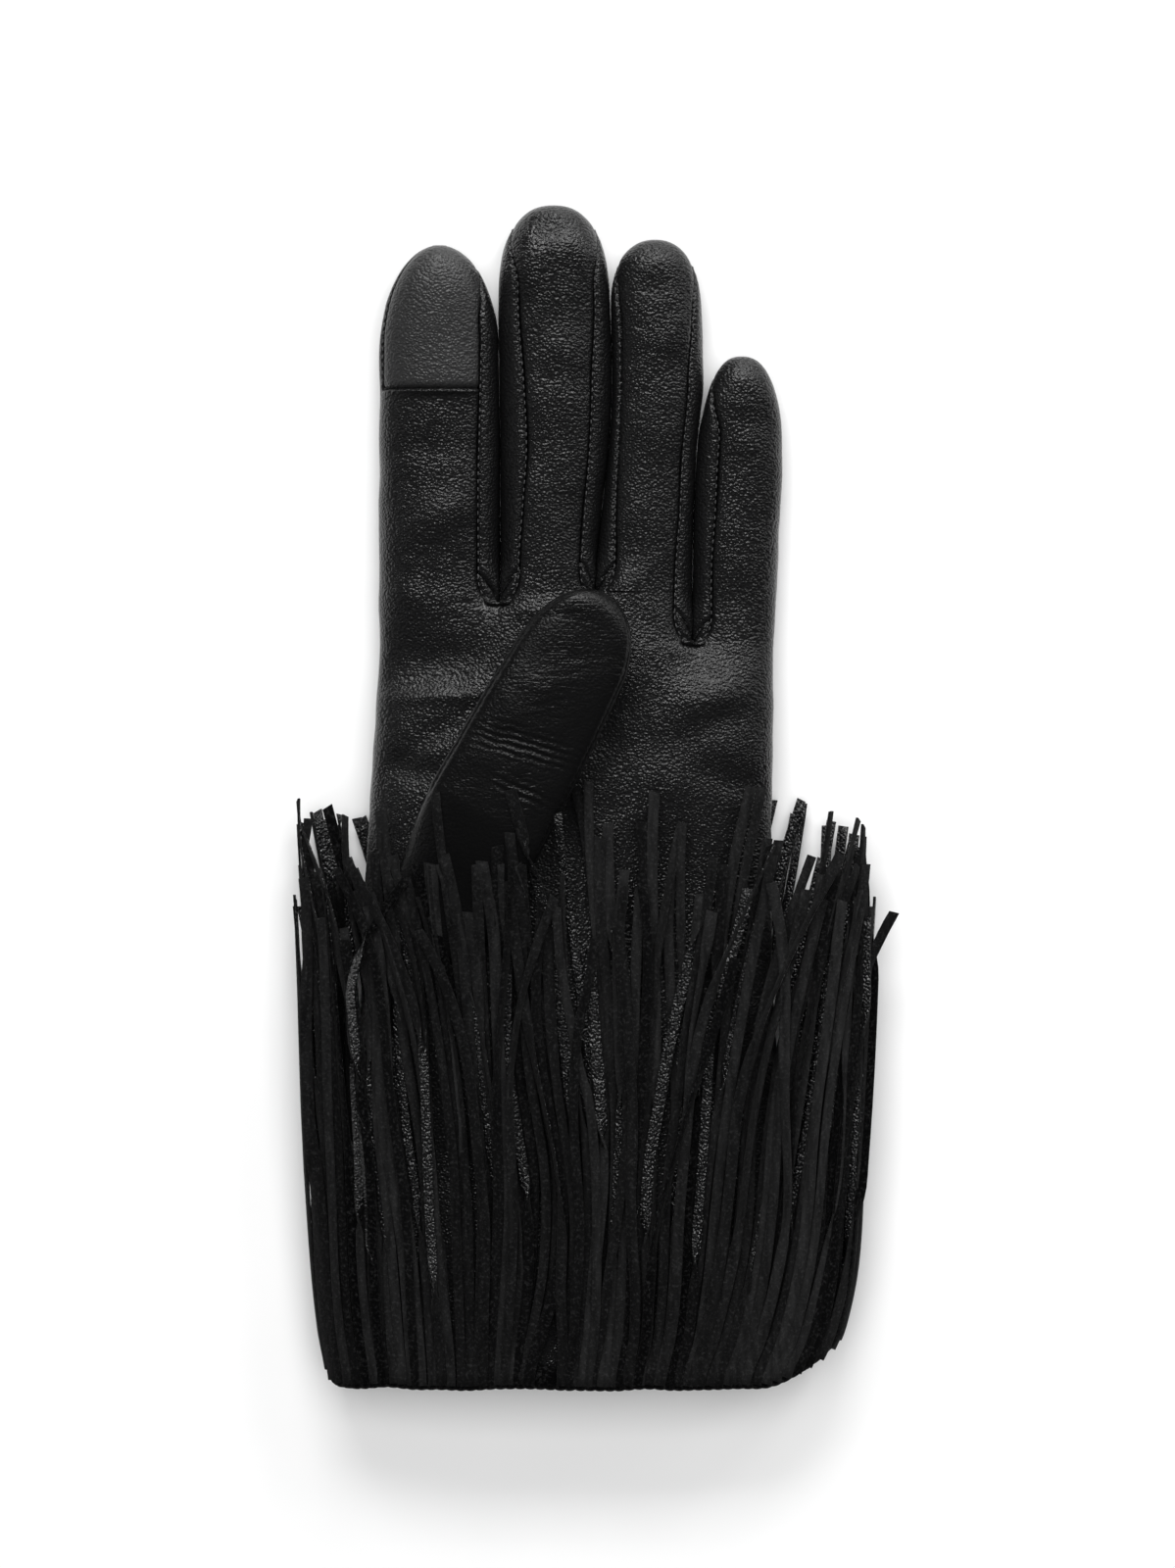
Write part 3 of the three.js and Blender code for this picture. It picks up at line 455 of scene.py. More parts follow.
# The lights: place in metres, size, power, and whether the glove mirrors it.
LIGHTS = {
    "key": ((-0.15, 1.1, 1.0), (0.8, 0.4), 11.5, True),
    "edge": ((0.3, 1.45, 0.38), (1.0, 0.2), 6, True),
    "left": ((-1.2, 0.1, 0.6), (0.3, 1.0), 0.5, True),
    "right": ((1.1, 0.6, 0.6), (0.3, 0.8), 1.5, True),
    "upper_right": ((0.75, 1.0, 0.85), (0.3, 0.3), 3, True),
    "overhead": ((0.0, 0.0, 2.4), (2.4, 2.4), 60, False),
}
SURROUNDINGS = 0.02  # strength of the white world round the glove

# The camera, in metres, and the floor, in millimetres.
FRAME_HEIGHT = 0.335  # that the picture shows at the glove's height
LENS = 120.0  # in millimetres
SENSOR = 36.0  # in millimetres
CAMERA_Y = 0.002
GLOVE_HEIGHT = 0.02
FARTHEST = 20
FLOOR_HALF = 3000.0
FLOOR_SINK = 0.05


def clamp01(value):
    """The value kept between 0 and 1."""
    return np.clip(value, 0, 1)


def mix(start, end, share):
    """What lies between two values at a share of the way."""
    return start + (end - start) * share


def smooth(value):
    """A rise from 0 to 1 that starts and ends level."""
    t = clamp01(value)
    return t * t * (3 - 2 * t)


def read(rows, column, place, key="y"):
    """Smooth value of a table's column at a place along it, level where the column turns."""
    order = np.argsort(rows[key])
    at, value = rows[key][order], rows[column][order]
    slope = np.zeros(len(at))
    before, after = value[1:-1] - value[:-2], value[2:] - value[1:-1]
    slope[1:-1] = np.where(before * after <= 0, 0, (value[2:] - value[:-2]) / (at[2:] - at[:-2]))
    i = np.clip(np.searchsorted(at, place) - 1, 0, len(at) - 2)
    step = at[i + 1] - at[i]
    t = clamp01((place - at[i]) / step)
    ends = value[i] * (1 + 2 * t) * (1 - t) ** 2 + value[i + 1] * t * t * (3 - 2 * t)
    return ends + slope[i] * step * t * (1 - t) ** 2 + slope[i + 1] * step * t * t * (t - 1)


def dome(distance, length, blunt):
    """Rise of an outline that starts blunt at a tip and reaches 1 after a length."""
    left = 1 - clamp01(distance / length)
    return np.maximum(0, 1 - left**blunt) ** (1 / blunt)


def finger_section(index, y, side):
    """One finger's section at y: its middle, its half widths to either side, and its heights."""
    finger = FINGERS[index]
    left = read(OUTLINE, finger["left"], y)
    right = read(OUTLINE, finger["right"], y)
    below = finger["tip"] - y
    narrow = np.maximum(TIP_LEAST, dome(below, finger["tip_length"], finger["blunt"]))
    rise = dome(below, DOME_LENGTH, TIP_BLUNT)
    level = read(HEIGHTS, "side", y)
    bottom = read(HEIGHTS, "bottom", y)
    half = (right - left) / 2

    def wide(gap):
        if gap is None:
            return half * narrow
        above = CROTCH_SWELL * (1 - smooth((y - gap[side]) / CROTCH_SWELL_LENGTH))
        beneath = FURROW_SWELL * smooth((gap[side] - y) / FURROW_SWELL_LENGTH)
        return (half + (above + beneath)) * narrow

    return SimpleNamespace(
        middle=(left + right) / 2,
        half=half * narrow,
        narrow=narrow,
        wide_left=wide(GAPS[index - 1] if index > 0 else None),
        wide_right=wide(GAPS[index] if index < LAST else None),
        level=level,
        up=(finger["height"] - level) * rise,
        down=(level - bottom) * rise,
        bottom=level - (level - bottom) * rise,
    )


def hand_section(y):
    """The hand's or the cuff's whole section at y."""
    left = read(OUTLINE, "index_side", y)
    right = read(OUTLINE, "little_side", y)
    level = read(HEIGHTS, "side", y)
    bottom = read(HEIGHTS, "bottom", y)
    half = (right - left) / 2
    up = read(HEIGHTS, "top", y) - level
    return SimpleNamespace(
        middle=(left + right) / 2,
        wide_left=half,
        wide_right=half,
        level=level,
        up=up,
        down=level - bottom,
        bottom=bottom,
    )


def section_point(section, angle, side, roundness):
    """Place on a section at an angle from its +X side, over the top on the palm or under it on the back."""
    over = np.where((angle < 0) | (angle > math.pi), -side, side)
    cosine = np.cos(angle)
    sine = np.abs(np.sin(angle))
    wide = np.where(cosine < 0, section.wide_left, section.wide_right)
    x = section.middle + np.sign(cosine) * wide * np.abs(cosine) ** (2 / roundness)
    top = section.level + section.up * sine ** (2 / roundness)
    above = section.level - section.bottom - FLATTENING * section.down * sine ** (2 / BACK_ROUND)
    soft = FLAT_EDGE * section.down
    pressed = section.bottom + (above + np.sqrt(above**2 + soft**2)) / 2
    low = pressed - soft**2 / 4 / np.maximum(section.down, 1e-6)
    return x, np.where(over > 0, top, low)


def angle_at(section, x, roundness):
    """Angle at which a section reaches a place x."""
    wide = np.where(x < section.middle, section.wide_left, section.wide_right)
    angle = np.arccos(clamp01(np.abs(x - section.middle) / wide) ** (roundness / 2))
    return np.where(x < section.middle, math.pi - angle, angle)


def border_inset(index, y, side, end):
    """How far a panel's border at one side of a finger lies from the edge between the fingers."""
    gap = GAPS[index if end == RIGHT else index - 1]
    column = gap["edge"] + ("_0" if end == RIGHT else "_1")
    inset = read(SEAMS, column, y) if side == PALM else BACK_SEAM_INSET
    from_tip = smooth((FINGERS[index]["tip"] - y - SEAM_START) / SEAM_TURN)
    left = 1 - clamp01((y - gap[side]) / CROTCH_ROUND)
    opened = (1 - left ** CROTCH_BLUNT[0]) ** CROTCH_BLUNT[1]
    return (inset + FINGER_GAP / 2) * from_tip * opened


def panel_borders(index, y, side, inset=True):
    """A finger's section, and the angles of its panel's -X and +X borders or of the edges beside them."""
    section = finger_section(index, y, side)
    borders = []
    for end in (LEFT, RIGHT):
        if index == 0 and end == LEFT:
            wrap = smooth((y - PATCH_WRAP_FROM) / PATCH_WRAP_LENGTH)
            borders.append(math.pi - side * PATCH_WRAP * wrap)
        elif index == LAST and end == RIGHT:
            borders.append(np.zeros_like(y))
        else:
            away = border_inset(index, y, side, end) * section.narrow if inset else 0
            x = section.middle + (section.half - away) * (1 if end == RIGHT else -1)
            borders.append(angle_at(section, x, FINGER_ROUND))
    return section, borders[LEFT], borders[RIGHT]


def merged(gap, y, side):
    """How far a place beside a gap has merged into the hand."""
    return 1 - smooth((y - gap[side] + BLEND_BELOW) / (BLEND_ABOVE + BLEND_BELOW))


def raw_panel(index, y, share, side):
    """Points of a panel on one finger, before its borders are made to meet the next finger's."""
    section, start, end = panel_borders(index, y, side)
    first, last = panel_borders(index, y, side, inset=False)[1:]
    angle = mix(start, end, share)
    over = (angle - first) / (last - first)
    x, z = section_point(section, angle, side, FINGER_ROUND)
    hand = hand_section(y)
    finger = FINGERS[index]
    if index > 0:
        first = angle_at(hand, read(OUTLINE, finger["left"], y), HAND_ROUND)
    if index < LAST:
        last = angle_at(hand, read(OUTLINE, finger["right"], y), HAND_ROUND)
    hand_x, hand_z = section_point(hand, mix(first, last, over), side, HAND_ROUND)
    left = merged(GAPS[max(index - 1, 0)], y, side)
    right = merged(GAPS[min(index, LAST - 1)], y, side)
    weight = mix(left, right, over)
    return mix(x, hand_x, weight), mix(z, hand_z, weight), over


def border_step(gap_index, y, side):
    """Height by which the panels of two neighbouring fingers differ at their common border."""
    crotch = GAPS[gap_index][side]
    at = np.minimum(y, crotch)
    before = raw_panel(gap_index, at, 1.0, side)[1]
    after = raw_panel(gap_index + 1, at, 0.0, side)[1]
    return (before - after) / 2 * np.exp(-((np.maximum(0, y - crotch) / STEP_LENGTH) ** 2))


def met_panel(index, y, share, side):
    """Points of a panel whose borders meet the next finger's below the crotch."""
    x, z, over = raw_panel(index, y, share, side)
    if index > 0:
        z = z + border_step(index - 1, y, side) * (1 - over) ** STEP_POWER
    if index < LAST:
        z = z - border_step(index, y, side) * over**STEP_POWER
    return x, z


def border_bend(gap_index, y, side):
    """Slope of the furrow between two fingers' panels below their crotch."""
    near = 0.03
    slopes = []
    for index, at, beside in ((gap_index, 1.0, 1 - near), (gap_index + 1, 0.0, near)):
        x, z = met_panel(index, y, at, side)
        x_beside, z_beside = met_panel(index, y, beside, side)
        slopes.append((z_beside - z) / np.maximum(np.abs(x_beside - x), TOUCH))
    return (slopes[0] + slopes[1]) / 2 * smooth((GAPS[gap_index][side] - y) / FURROW_START)


def panel_points(index, y, share, side):
    """Points of the palm or back panel: shares of the way over one finger, from its -X to its +X border."""
    x, z = met_panel(index, y, share, side)
    for gap_index, edge in ((index - 1, "left"), (index, "right")):
        if 0 <= gap_index < len(GAPS):
            away = np.abs(x - read(OUTLINE, FINGERS[index][edge], y))
            near = 1 - smooth((away - FURROW_REACH.whole) / FURROW_REACH.fade)
            z = z + border_bend(gap_index, y, side) * (np.sqrt(away**2 + FURROW**2) - away) * near
    return np.stack(np.broadcast_arrays(x, y, z), axis=-1)


def dense_steps(count, step):
    """Distances that start close together and end a step apart."""
    return step * np.arange(count + 1) ** 2 / (2 * count)


def spaced(rows, least):
    """Rows in falling order, without any that lies too close to one before it in the list."""
    kept = []
    for row in rows:
        if all(abs(row - other) > least for other in kept):
            kept.append(row)
    return np.sort(kept)[::-1]


def shell_rows(index):
    """Places along a finger, the hand and the cuff down to the hem, close together at tips and crotches."""
    tip = FINGERS[index]["tip"]
    near_tip = tip - dense_steps(DENSE_ROWS, ROW_STEP)
    even_rows = round((near_tip[-1] - SHARED_FROM) / ROW_STEP) + 1
    along = np.linspace(near_tip[-1], SHARED_FROM, even_rows)[1:]
    crotches = [gap[side] for gap in GAPS for side in (PALM, BACK)]
    dense = np.concatenate([crotch + dense_steps(DENSE_ROWS, ROW_STEP) for crotch in crotches])
    even = np.arange(SHARED_FROM - ROW_STEP, CUFF_FROM, -ROW_STEP)
    even = even[[np.abs(dense - y).min() > DENSE_CLEARANCE * ROW_STEP for y in even]]
    cuff = np.linspace(CUFF_FROM, HEM, round((CUFF_FROM - HEM) / CUFF_STEP) + 1)
    own = PATCH_EDGE - LIP_ROWS if index == 0 else []
    rows = np.concatenate([crotches, own, near_tip, dense, along, even, cuff])
    return spaced(np.round(rows, 3), LEAST_STEP)


def edge_shares(count):
    """Shares from 0 to 1 that lie closer together at both ends."""
    t = np.linspace(0, 1, count + 1)
    return EDGE_EVENNESS * t + (1 - EDGE_EVENNESS) * (1 - np.cos(math.pi * t)) / 2


def shell_grid(index, side):
    """The points of one finger's panel, from the tip to the hem."""
    y = shell_rows(index)[:, None]
    return panel_points(index, y, edge_shares(PANEL_COLUMNS[side])[None, :], side)


def grid_faces(rows, columns, upward, closed=False):
    """Faces of a grid of points; a closed one also joins its last column to its first."""
    ids = np.arange(rows * columns).reshape(rows, columns)
    if closed:
        ids = np.concatenate([ids, ids[:, :1]], axis=1)
    faces = np.stack([ids[:-1, :-1], ids[1:, :-1], ids[1:, 1:], ids[:-1, 1:]], axis=-1).reshape(-1, 4)
    return faces if upward else faces[:, ::-1]


def joined(parts):
    """One sheet from (points, faces) parts: points at the same place become one."""
    points = np.concatenate([p.reshape(-1, 3) for p, _ in parts])
    offsets = np.cumsum([0] + [p.size // 3 for p, _ in parts[:-1]])
    faces = np.concatenate([f + offset for (_, f), offset in zip(parts, offsets)])
    _, first, same = np.unique(np.round(points, 3), axis=0, return_index=True, return_inverse=True)
    faces = same.reshape(-1)[faces]
    return points[first], faces


def sheet_normals(points, faces):
    """Unit normals of a sheet's points, from the faces round them."""
    across = points[faces[:, 2]] - points[faces[:, 0]]
    other = points[faces[:, 3]] - points[faces[:, 1]]
    normal = np.cross(across, other)
    total = np.zeros_like(points)
    for corner in range(4):
        np.add.at(total, faces[:, corner], normal)
    return total / np.maximum(np.linalg.norm(total, axis=1, keepdims=True), 1e-12)


def rough(points, size, seed=0.0):
    """Smooth noise from -1 to 1 at each point, with bumps of about a size."""
    offset = Vector((seed, 2.3 * seed, 5.7 * seed))
    return np.array([noise.noise(Vector(p) / size + offset) for p in points])


def dented(points, dents):
    """Height of the dents at each point, the sum of a few noises."""
    return sum(share * rough(points, size, seed) for share, size, seed in dents)


def resampled(line, spacing):
    """Points an equal distance apart along a line of points, and their distances along it."""
    steps = np.linalg.norm(np.diff(line, axis=0), axis=1)
    lengths = np.concatenate([[0], np.cumsum(steps)])
    count = max(2, int(lengths[-1] / spacing) + 1)
    at = np.linspace(0, lengths[-1], count)
    return np.stack([np.interp(at, lengths, line[:, i]) for i in range(3)], axis=1), at


class SeamField:
    """Distance to the nearest seam, and the place along it, for any point."""

    def __init__(self, lines):
        sampled = [resampled(line, SEAM_SAMPLING) for line in lines]
        self.points = np.concatenate([points for points, _ in sampled])
        self.along = np.concatenate([along for _, along in sampled])
        self.tree = KDTree(len(self.points))
        for i, point in enumerate(self.points):
            self.tree.insert(point, i)
        self.tree.balance()

    def sink(self, points, normals, share=1.0, roll_depth=ROLL_DEPTH):
        """How deep each point sinks beside the seam, less on upright sides, with a pucker at each stitch."""
        found = [self.tree.find(point) for point in points]
        distance = np.array([hit[2] for hit in found])
        along = self.along[[hit[1] for hit in found]]
        groove = GROOVE_DEPTH * np.exp(-((distance / GROOVE_WIDTH) ** 2))
        roll = roll_depth * clamp01(1 - distance / ROLL_WIDTH) ** 2
        pucker = PUCKER * np.cos(2 * math.pi * along / STITCH_PITCH) * np.exp(-distance / PUCKER_WIDTH)
        level = clamp01(LEVEL_GAIN * np.abs(normals[:, 2]))
        return share * (mix(UPRIGHT_SHARE, 1, level) * (groove + roll) + level**2 * pucker)


def along_and_across(points, x, y, turn):
    """Places of points in a frame at (x, y) that is turned by an angle in degrees, seen from above."""
    angle = math.radians(turn)
    dx, dy = points[:, 0] - x, points[:, 1] - y
    along = dx * math.cos(angle) + dy * math.sin(angle)
    across = dy * math.cos(angle) - dx * math.sin(angle)
    return along, across


def fold_depth(points, folds):
    """Depth of all folds at each point, seen from above."""
    total = np.zeros(len(points))
    for x, y, turn, length, width, depth in zip(*folds.values()):
        along, across = along_and_across(points, x, y, turn)
        total += depth * np.exp(-((along / length) ** 2) - (across / width) ** 2)
    return total


def crease_groups(points, groups):
    """Depth of groups of fine parallel creases at each point."""
    total = np.zeros(len(points))
    stray = CREASE_STRAY * rough(points, CREASE_NOISE.size, CREASE_NOISE.seed)
    for x, y, turn, count, pitch, length, depth in zip(*groups.values()):
        along, across = along_and_across(points, x, y, turn)
        across = across + stray
        width = CREASE_EXTENT * count * pitch
        spread = np.exp(-((along / length) ** 2) - (across / width) ** 2)
        total += depth * spread * (1 - np.cos(2 * math.pi * across / pitch)) / 2
    return total


def object_from(name, points, faces, materials, thickness=0.0, face_materials=None):
    """A smooth mesh object in metres; a sheet gets its thickness on the inner side."""
    mesh = bpy.data.meshes.new(name)
    mesh.from_pydata((np.asarray(points) * MM).tolist(), [], [list(map(int, face)) for face in faces])
    for material in materials:
        mesh.materials.append(material)
    if face_materials is not None:
        mesh.polygons.foreach_set("material_index", np.asarray(face_materials, np.int32))
    mesh.shade_smooth()
    made = bpy.data.objects.new(name, mesh)
    bpy.context.scene.collection.objects.link(made)
    if thickness:
        solid = made.modifiers.new("thickness", "SOLIDIFY")
        solid.thickness = thickness * MM
        solid.offset = -1
        solid.use_even_offset = False
    return made


def placed(piece, slot, *nodes):
    """Ties a piece to the glove's body and hides the solids it stands for; the slot it is given is not used.
    """
    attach(piece, "root")
    if nodes:
        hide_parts(*nodes)
    return piece


# The shell's grids and the seams between them.
GRIDS = {(index, side): shell_grid(index, side) for index in range(len(FINGERS)) for side in (PALM, BACK)}


def gap_seam(gap_index, side):
    """The seam round a gap: down one finger, round the crotch and up the next."""
    crotch = GAPS[gap_index][side] - TOUCH
    down = GRIDS[gap_index, side][:, -1]
    up = GRIDS[gap_index + 1, side][:, 0]
    return np.concatenate([down[down[:, 1] >= crotch], up[up[:, 1] >= crotch][::-1]])


def tip_seam(index, side):
    """The seam over a fingertip."""
    return GRIDS[index, side][0]


def patch_rows():
    """Which rows of the index finger's panel the patch covers."""
    return GRIDS[0, PALM][:, 0, 1] >= PATCH_EDGE - TOUCH


def patch_seams():
    """The patch's outer seam and the one below it."""
    patch = GRIDS[0, PALM][patch_rows()]
    return [patch[:, 0], patch[-1]]


def out_seam():
    """The seam down the little finger's side to the hem."""
    return GRIDS[LAST, PALM][:, -1]


def all_seams():
    """The shell's seams by name, each as a line of points."""
    seams = {}
    for gap_index in range(len(GAPS)):
        for side in (PALM, BACK):
            seams["gap", gap_index, side] = gap_seam(gap_index, side)
    for index in range(len(FINGERS)):
        for side in (PALM, BACK):
            seams["tip", index, side] = tip_seam(index, side)
    seams["patch_side"], seams["patch_edge"] = patch_seams()
    seams["out"] = out_seam()
    return seams


SEAM_LINES = all_seams()
SEAM_FIELD = SeamField([line for name, line in SEAM_LINES.items() if name != "patch_edge"])
PATCH_FIELD = SeamField([SEAM_LINES["patch_edge"]])
TIPS = np.array([finger["tip"] for finger in FINGERS])


def beside_thumb(along, across):
    """The place at distances along the thumb and to its right."""
    (x, y), (dx, dy) = THUMB_START, THUMB_DIRECTION
    return x + dx * along + dy * across, y + dy * along - dx * across


def palm_height(x, y):
    """Height of the palm at a place on it, without creases."""
    hand = hand_section(y)
    return section_point(hand, angle_at(hand, x, HAND_ROUND), PALM, HAND_ROUND)[1]


def outside_hole(points, faces):
    """The faces that don't lie in the hole under the thumb's root."""
    middle = points[faces].mean(axis=1)
    dx, dy = middle[:, 0] - THUMB_START[0], middle[:, 1] - THUMB_START[1]
    along = dx * THUMB_DIRECTION[0] + dy * THUMB_DIRECTION[1] - THUMB_HOLE.along
    across = dx * THUMB_DIRECTION[1] - dy * THUMB_DIRECTION[0] - THUMB_HOLE.across
    half_length = THUMB_HOLE.half_length - THUMB_HOLE_LIP
    half_width = THUMB_HOLE.half_width - THUMB_HOLE_LIP
    inside = (along / half_length) ** 2 + (across / half_width) ** 2 < 1
    return faces[~(inside & (middle[:, 2] > read(HEIGHTS, "side", middle[:, 1])))]


def below_tip(points):
    """How far each point lies below the tip of the finger that it is on."""
    x, y = points[:, 0], points[:, 1]
    finger = sum((x > read(OUTLINE, gap["edge"], y)).astype(int) for gap in GAPS)
    return TIPS[finger] - y


def leather_surface(points, faces, folds=True, dents=HIDE_DENT_DEPTH):
    """Moves a sheet's points: edges sink into the seams, and the leather is creased and slightly uneven."""
    normals = sheet_normals(points, faces)
    whole = smooth(below_tip(points) / TIP_CALM)
    move = -SEAM_FIELD.sink(points, normals, whole) - PATCH_FIELD.sink(points, normals, roll_depth=0)
    upward = clamp01(normals[:, 2])
    if folds:
        move -= (fold_depth(points, FOLDS) + crease_groups(points, PALM_CREASES)) * upward
    fade = clamp01(points[:, 2] / DENT_HEIGHT) * whole
    move += dents * dented(points, HIDE_DENTS) * fade
    moved = points + normals * move[:, None]
    moved[:, 2] = np.maximum(moved[:, 2], 0)
    return moved


def hide(leather):
    """Palm and back in one piece round the index finger's side."""
    parts = []
    for (index, side), grid in GRIDS.items():
        if index == 0 and side == PALM:
            grid = grid[grid[:, 0, 1] <= PATCH_EDGE + TOUCH]
        parts.append((grid, grid_faces(*grid.shape[:2], upward=side == PALM)))
    points, faces = joined(parts)
    faces = outside_hole(points, faces)
    points = leather_surface(points, faces)
    beyond = smooth((points[:, 0] - CORNER_START.x) / CORNER_START.width)
    below = clamp01((CORNER_START.y - points[:, 1]) / (CORNER_START.y - HEM))
    points[:, 1] += HIDDEN_CORNER * (beyond * below)
    piece = object_from("hide", points, faces, [leather], thickness=LEATHER)
    return placed(piece, "leather", "palm_panel", "back_panel")


def patch(leather):
    """The smoother patch over the index fingertip."""
    grid = GRIDS[0, PALM][patch_rows()]
    faces = grid_faces(*grid.shape[:2], upward=True)
    points = leather_surface(grid.reshape(-1, 3), faces, folds=False, dents=PATCH_DENT_DEPTH)
    piece = object_from("fingertip_patch_leather", points, faces, [leather], thickness=LEATHER)
    return placed(piece, "patch_leather", "fingertip_patch")


def leg_borders(index, end, seam_y):
    """On each side, the angle of a finger's border, and how far its panel lies from its section there."""
    angle, offset = {}, {}
    for side in (PALM, BACK):
        border = panel_borders(index, seam_y[side], side)
        angle[side] = border[1 + end] if end == RIGHT else math.pi - border[1 + end]
        on_section = section_point(border[0], border[1 + end], side, FINGER_ROUND)
        on_panel = panel_points(index, seam_y[side], float(end), side)
        offset[side] = on_panel[..., 0] - on_section[0], on_panel[..., 2] - on_section[1]
    return angle, offset


def gap_points(gap_index, leg, reach, share):
    """Points of a gap's wall: reach runs up one of its legs, share from the palm's seam to the back's."""
    gap = GAPS[gap_index]
    index = gap_index if leg < 0 else gap_index + 1
    end = RIGHT if leg < 0 else LEFT
    top = FINGERS[index]["tip"] - SEAM_START
    seam_y = {side: mix(gap[side], top, reach) for side in (PALM, BACK)}
    y = mix(seam_y[PALM], seam_y[BACK], share)
    angle, offset = leg_borders(index, end, seam_y)
    turned = mix(angle[PALM], -angle[BACK], share)
    around = np.abs(turned) if end == RIGHT else math.pi - np.abs(turned)
    on = {}
    for side in (PALM, BACK):
        on[side] = section_point(finger_section(index, y, side), around, side, FINGER_ROUND)
    x = np.where(turned >= 0, on[PALM][0], on[BACK][0]) + mix(offset[PALM][0], offset[BACK][0], share)
    z = np.where(turned >= 0, on[PALM][1], on[BACK][1]) + mix(offset[PALM][1], offset[BACK][1], share)
    edge = read(OUTLINE, gap["edge"], y)
    x = np.minimum(x, edge - FINGER_GAP / 2) if leg < 0 else np.maximum(x, edge + FINGER_GAP / 2)
    x = np.where(reach == 0, edge, x)
    return np.stack(np.broadcast_arrays(x, y, z), axis=-1)


def gusset_share(reach):
    """Share of a wall's height down to which the gusset reaches."""
    return GUSSET_DEPTH * clamp01(1 - reach / GUSSET_REACH) ** GUSSET_POWER


def wall_grid(gap_index, reach, start, end, columns):
    """Rows down the wall of a gap, along one leg, round the web and along the other."""
    legs = []
    for leg, places in ((-1, reach[::-1]), (1, reach[1:])):
        places = places[:, None]
        share = mix(start(places), end(places), edge_shares(columns)[None, :])
        legs.append(gap_points(gap_index, leg, places, share))
    return np.concatenate(legs)


def leg_places(last, count):
    """Shares of a leg's length that start close together at the crotch."""
    return last * np.linspace(0, 1, count) ** LEG_CROWDING


def wall_seams(gap_index):
    """The seams along a wall: the palm's, the back's and the gusset's."""
    reach = leg_places(GUSSET_REACH, GUSSET_SEAM_ROWS)
    gusset_line = wall_grid(gap_index, reach, gusset_share, gusset_share, 1)[:, 0]
    return SeamField([SEAM_LINES["gap", gap_index, PALM], SEAM_LINES["gap", gap_index, BACK], gusset_line])


def wall_piece(name, gap_index, grid, leather, node):
    """A piece of the wall between two fingers."""
    faces = grid_faces(*grid.shape[:2], upward=True)
    points, faces = joined([(grid, faces)])
    normals = sheet_normals(points, faces)
    move = dented(points, WALL_DENTS) - wall_seams(gap_index).sink(points, normals)
    points = points + normals * move[:, None]
    piece = object_from(name, points, faces, [leather], thickness=WALL_LEATHER * LEATHER)
    return placed(piece, "leather", node)


def fourchette(gap_index, leather):
    """The strip sewn into the gap between two fingers."""
    name = GAPS[gap_index]["edge"]
    rows, columns = FOURCHETTE_GRID
    grid = wall_grid(gap_index, leg_places(1, rows), gusset_share, np.ones_like, columns)
    wall_piece("fourchette_leather_" + name, gap_index, grid, leather, "fourchette_" + name)


def gusset(gap_index, leather):
    """The small three-cornered gusset that closes the top of a gap's web."""
    name = GAPS[gap_index]["edge"]
    rows, columns = GUSSET_GRID
    reach = leg_places(GUSSET_END * GUSSET_REACH, rows)
    grid = wall_grid(gap_index, reach, np.zeros_like, gusset_share, columns)
    wall_piece("gusset_leather_" + name, gap_index, grid, leather, "gusset_" + name)


def thumb_ring(along, angle):
    """Rings round the thumb where it has its full section, lying on the palm."""
    below = THUMB_LENGTH - along
    narrow = np.maximum(THUMB_LEAST.width, dome(below, THUMB_TIP_LENGTH, THUMB_TIP_BLUNT))
    half = read(THUMB_WIDTHS, "half", along, "along") * narrow
    thick = THUMB_THICKNESS * np.maximum(THUMB_LEAST.thickness, dome(below, *THUMB_DOME))
    lifted = (THUMB_THICKNESS - thick) * THUMB_TIP_LIFT
    cosine, sine = np.cos(angle), np.sin(angle)
    x, y = beside_thumb(along, half * np.sign(cosine) * np.abs(cosine) ** THUMB_SIDE_POWER)
    ground = palm_height(x, np.minimum(y, THUMB_PALM_END)) + THUMB_CLEARANCE
    flat = np.where(sine > 0, THUMB_TOP_FLAT, THUMB_UNDER_FLAT)
    share = (1 + np.sign(sine) * np.abs(sine) ** flat) / 2
    return np.stack([x, y, ground + lifted + thick * share], axis=-1)


def thumb_base(angle):
    """The ring in which the thumb is sewn round the hole in the palm."""
    along = THUMB_HOLE.along - THUMB_HOLE.half_length * np.sin(angle)
    x, y = beside_thumb(along, THUMB_HOLE.across + THUMB_HOLE.half_width * np.cos(angle))
    return np.stack([x, y, palm_height(x, y) + THUMB_BASE_RISE], axis=-1)


def thumb_grid():
    """Rings from the hole in the palm up to just below the thumb's tip."""
    angle = np.linspace(0, 2 * math.pi, THUMB_SIDES, endpoint=False)[None, :]
    base, full = thumb_base(angle), thumb_ring(np.array([[THUMB_FULL]]), angle)
    share = np.linspace(0, 1, THUMB_BASE_ROWS + 1)[:-1, None]
    between = mix(base, full, share[..., None])
    early = np.sin(share * math.pi / 2) ** THUMB_RISE.power
    height = mix(base[..., 2], full[..., 2], THUMB_RISE.even * share + THUMB_RISE.early * early)
    ground = palm_height(between[..., 0], between[..., 1])
    between[..., 2] = np.maximum(height, ground + THUMB_CLEARANCE * share)
    to_tip = THUMB_LENGTH - THUMB_TIP.end - dense_steps(THUMB_TIP.rows, THUMB_TIP.step)[::-1]
    even = np.arange(THUMB_FULL, to_tip[0] - THUMB_TIP.clearance, THUMB_STEP)
    along = np.concatenate([even, to_tip])[:, None]
    return np.concatenate([between, thumb_ring(along, angle)])


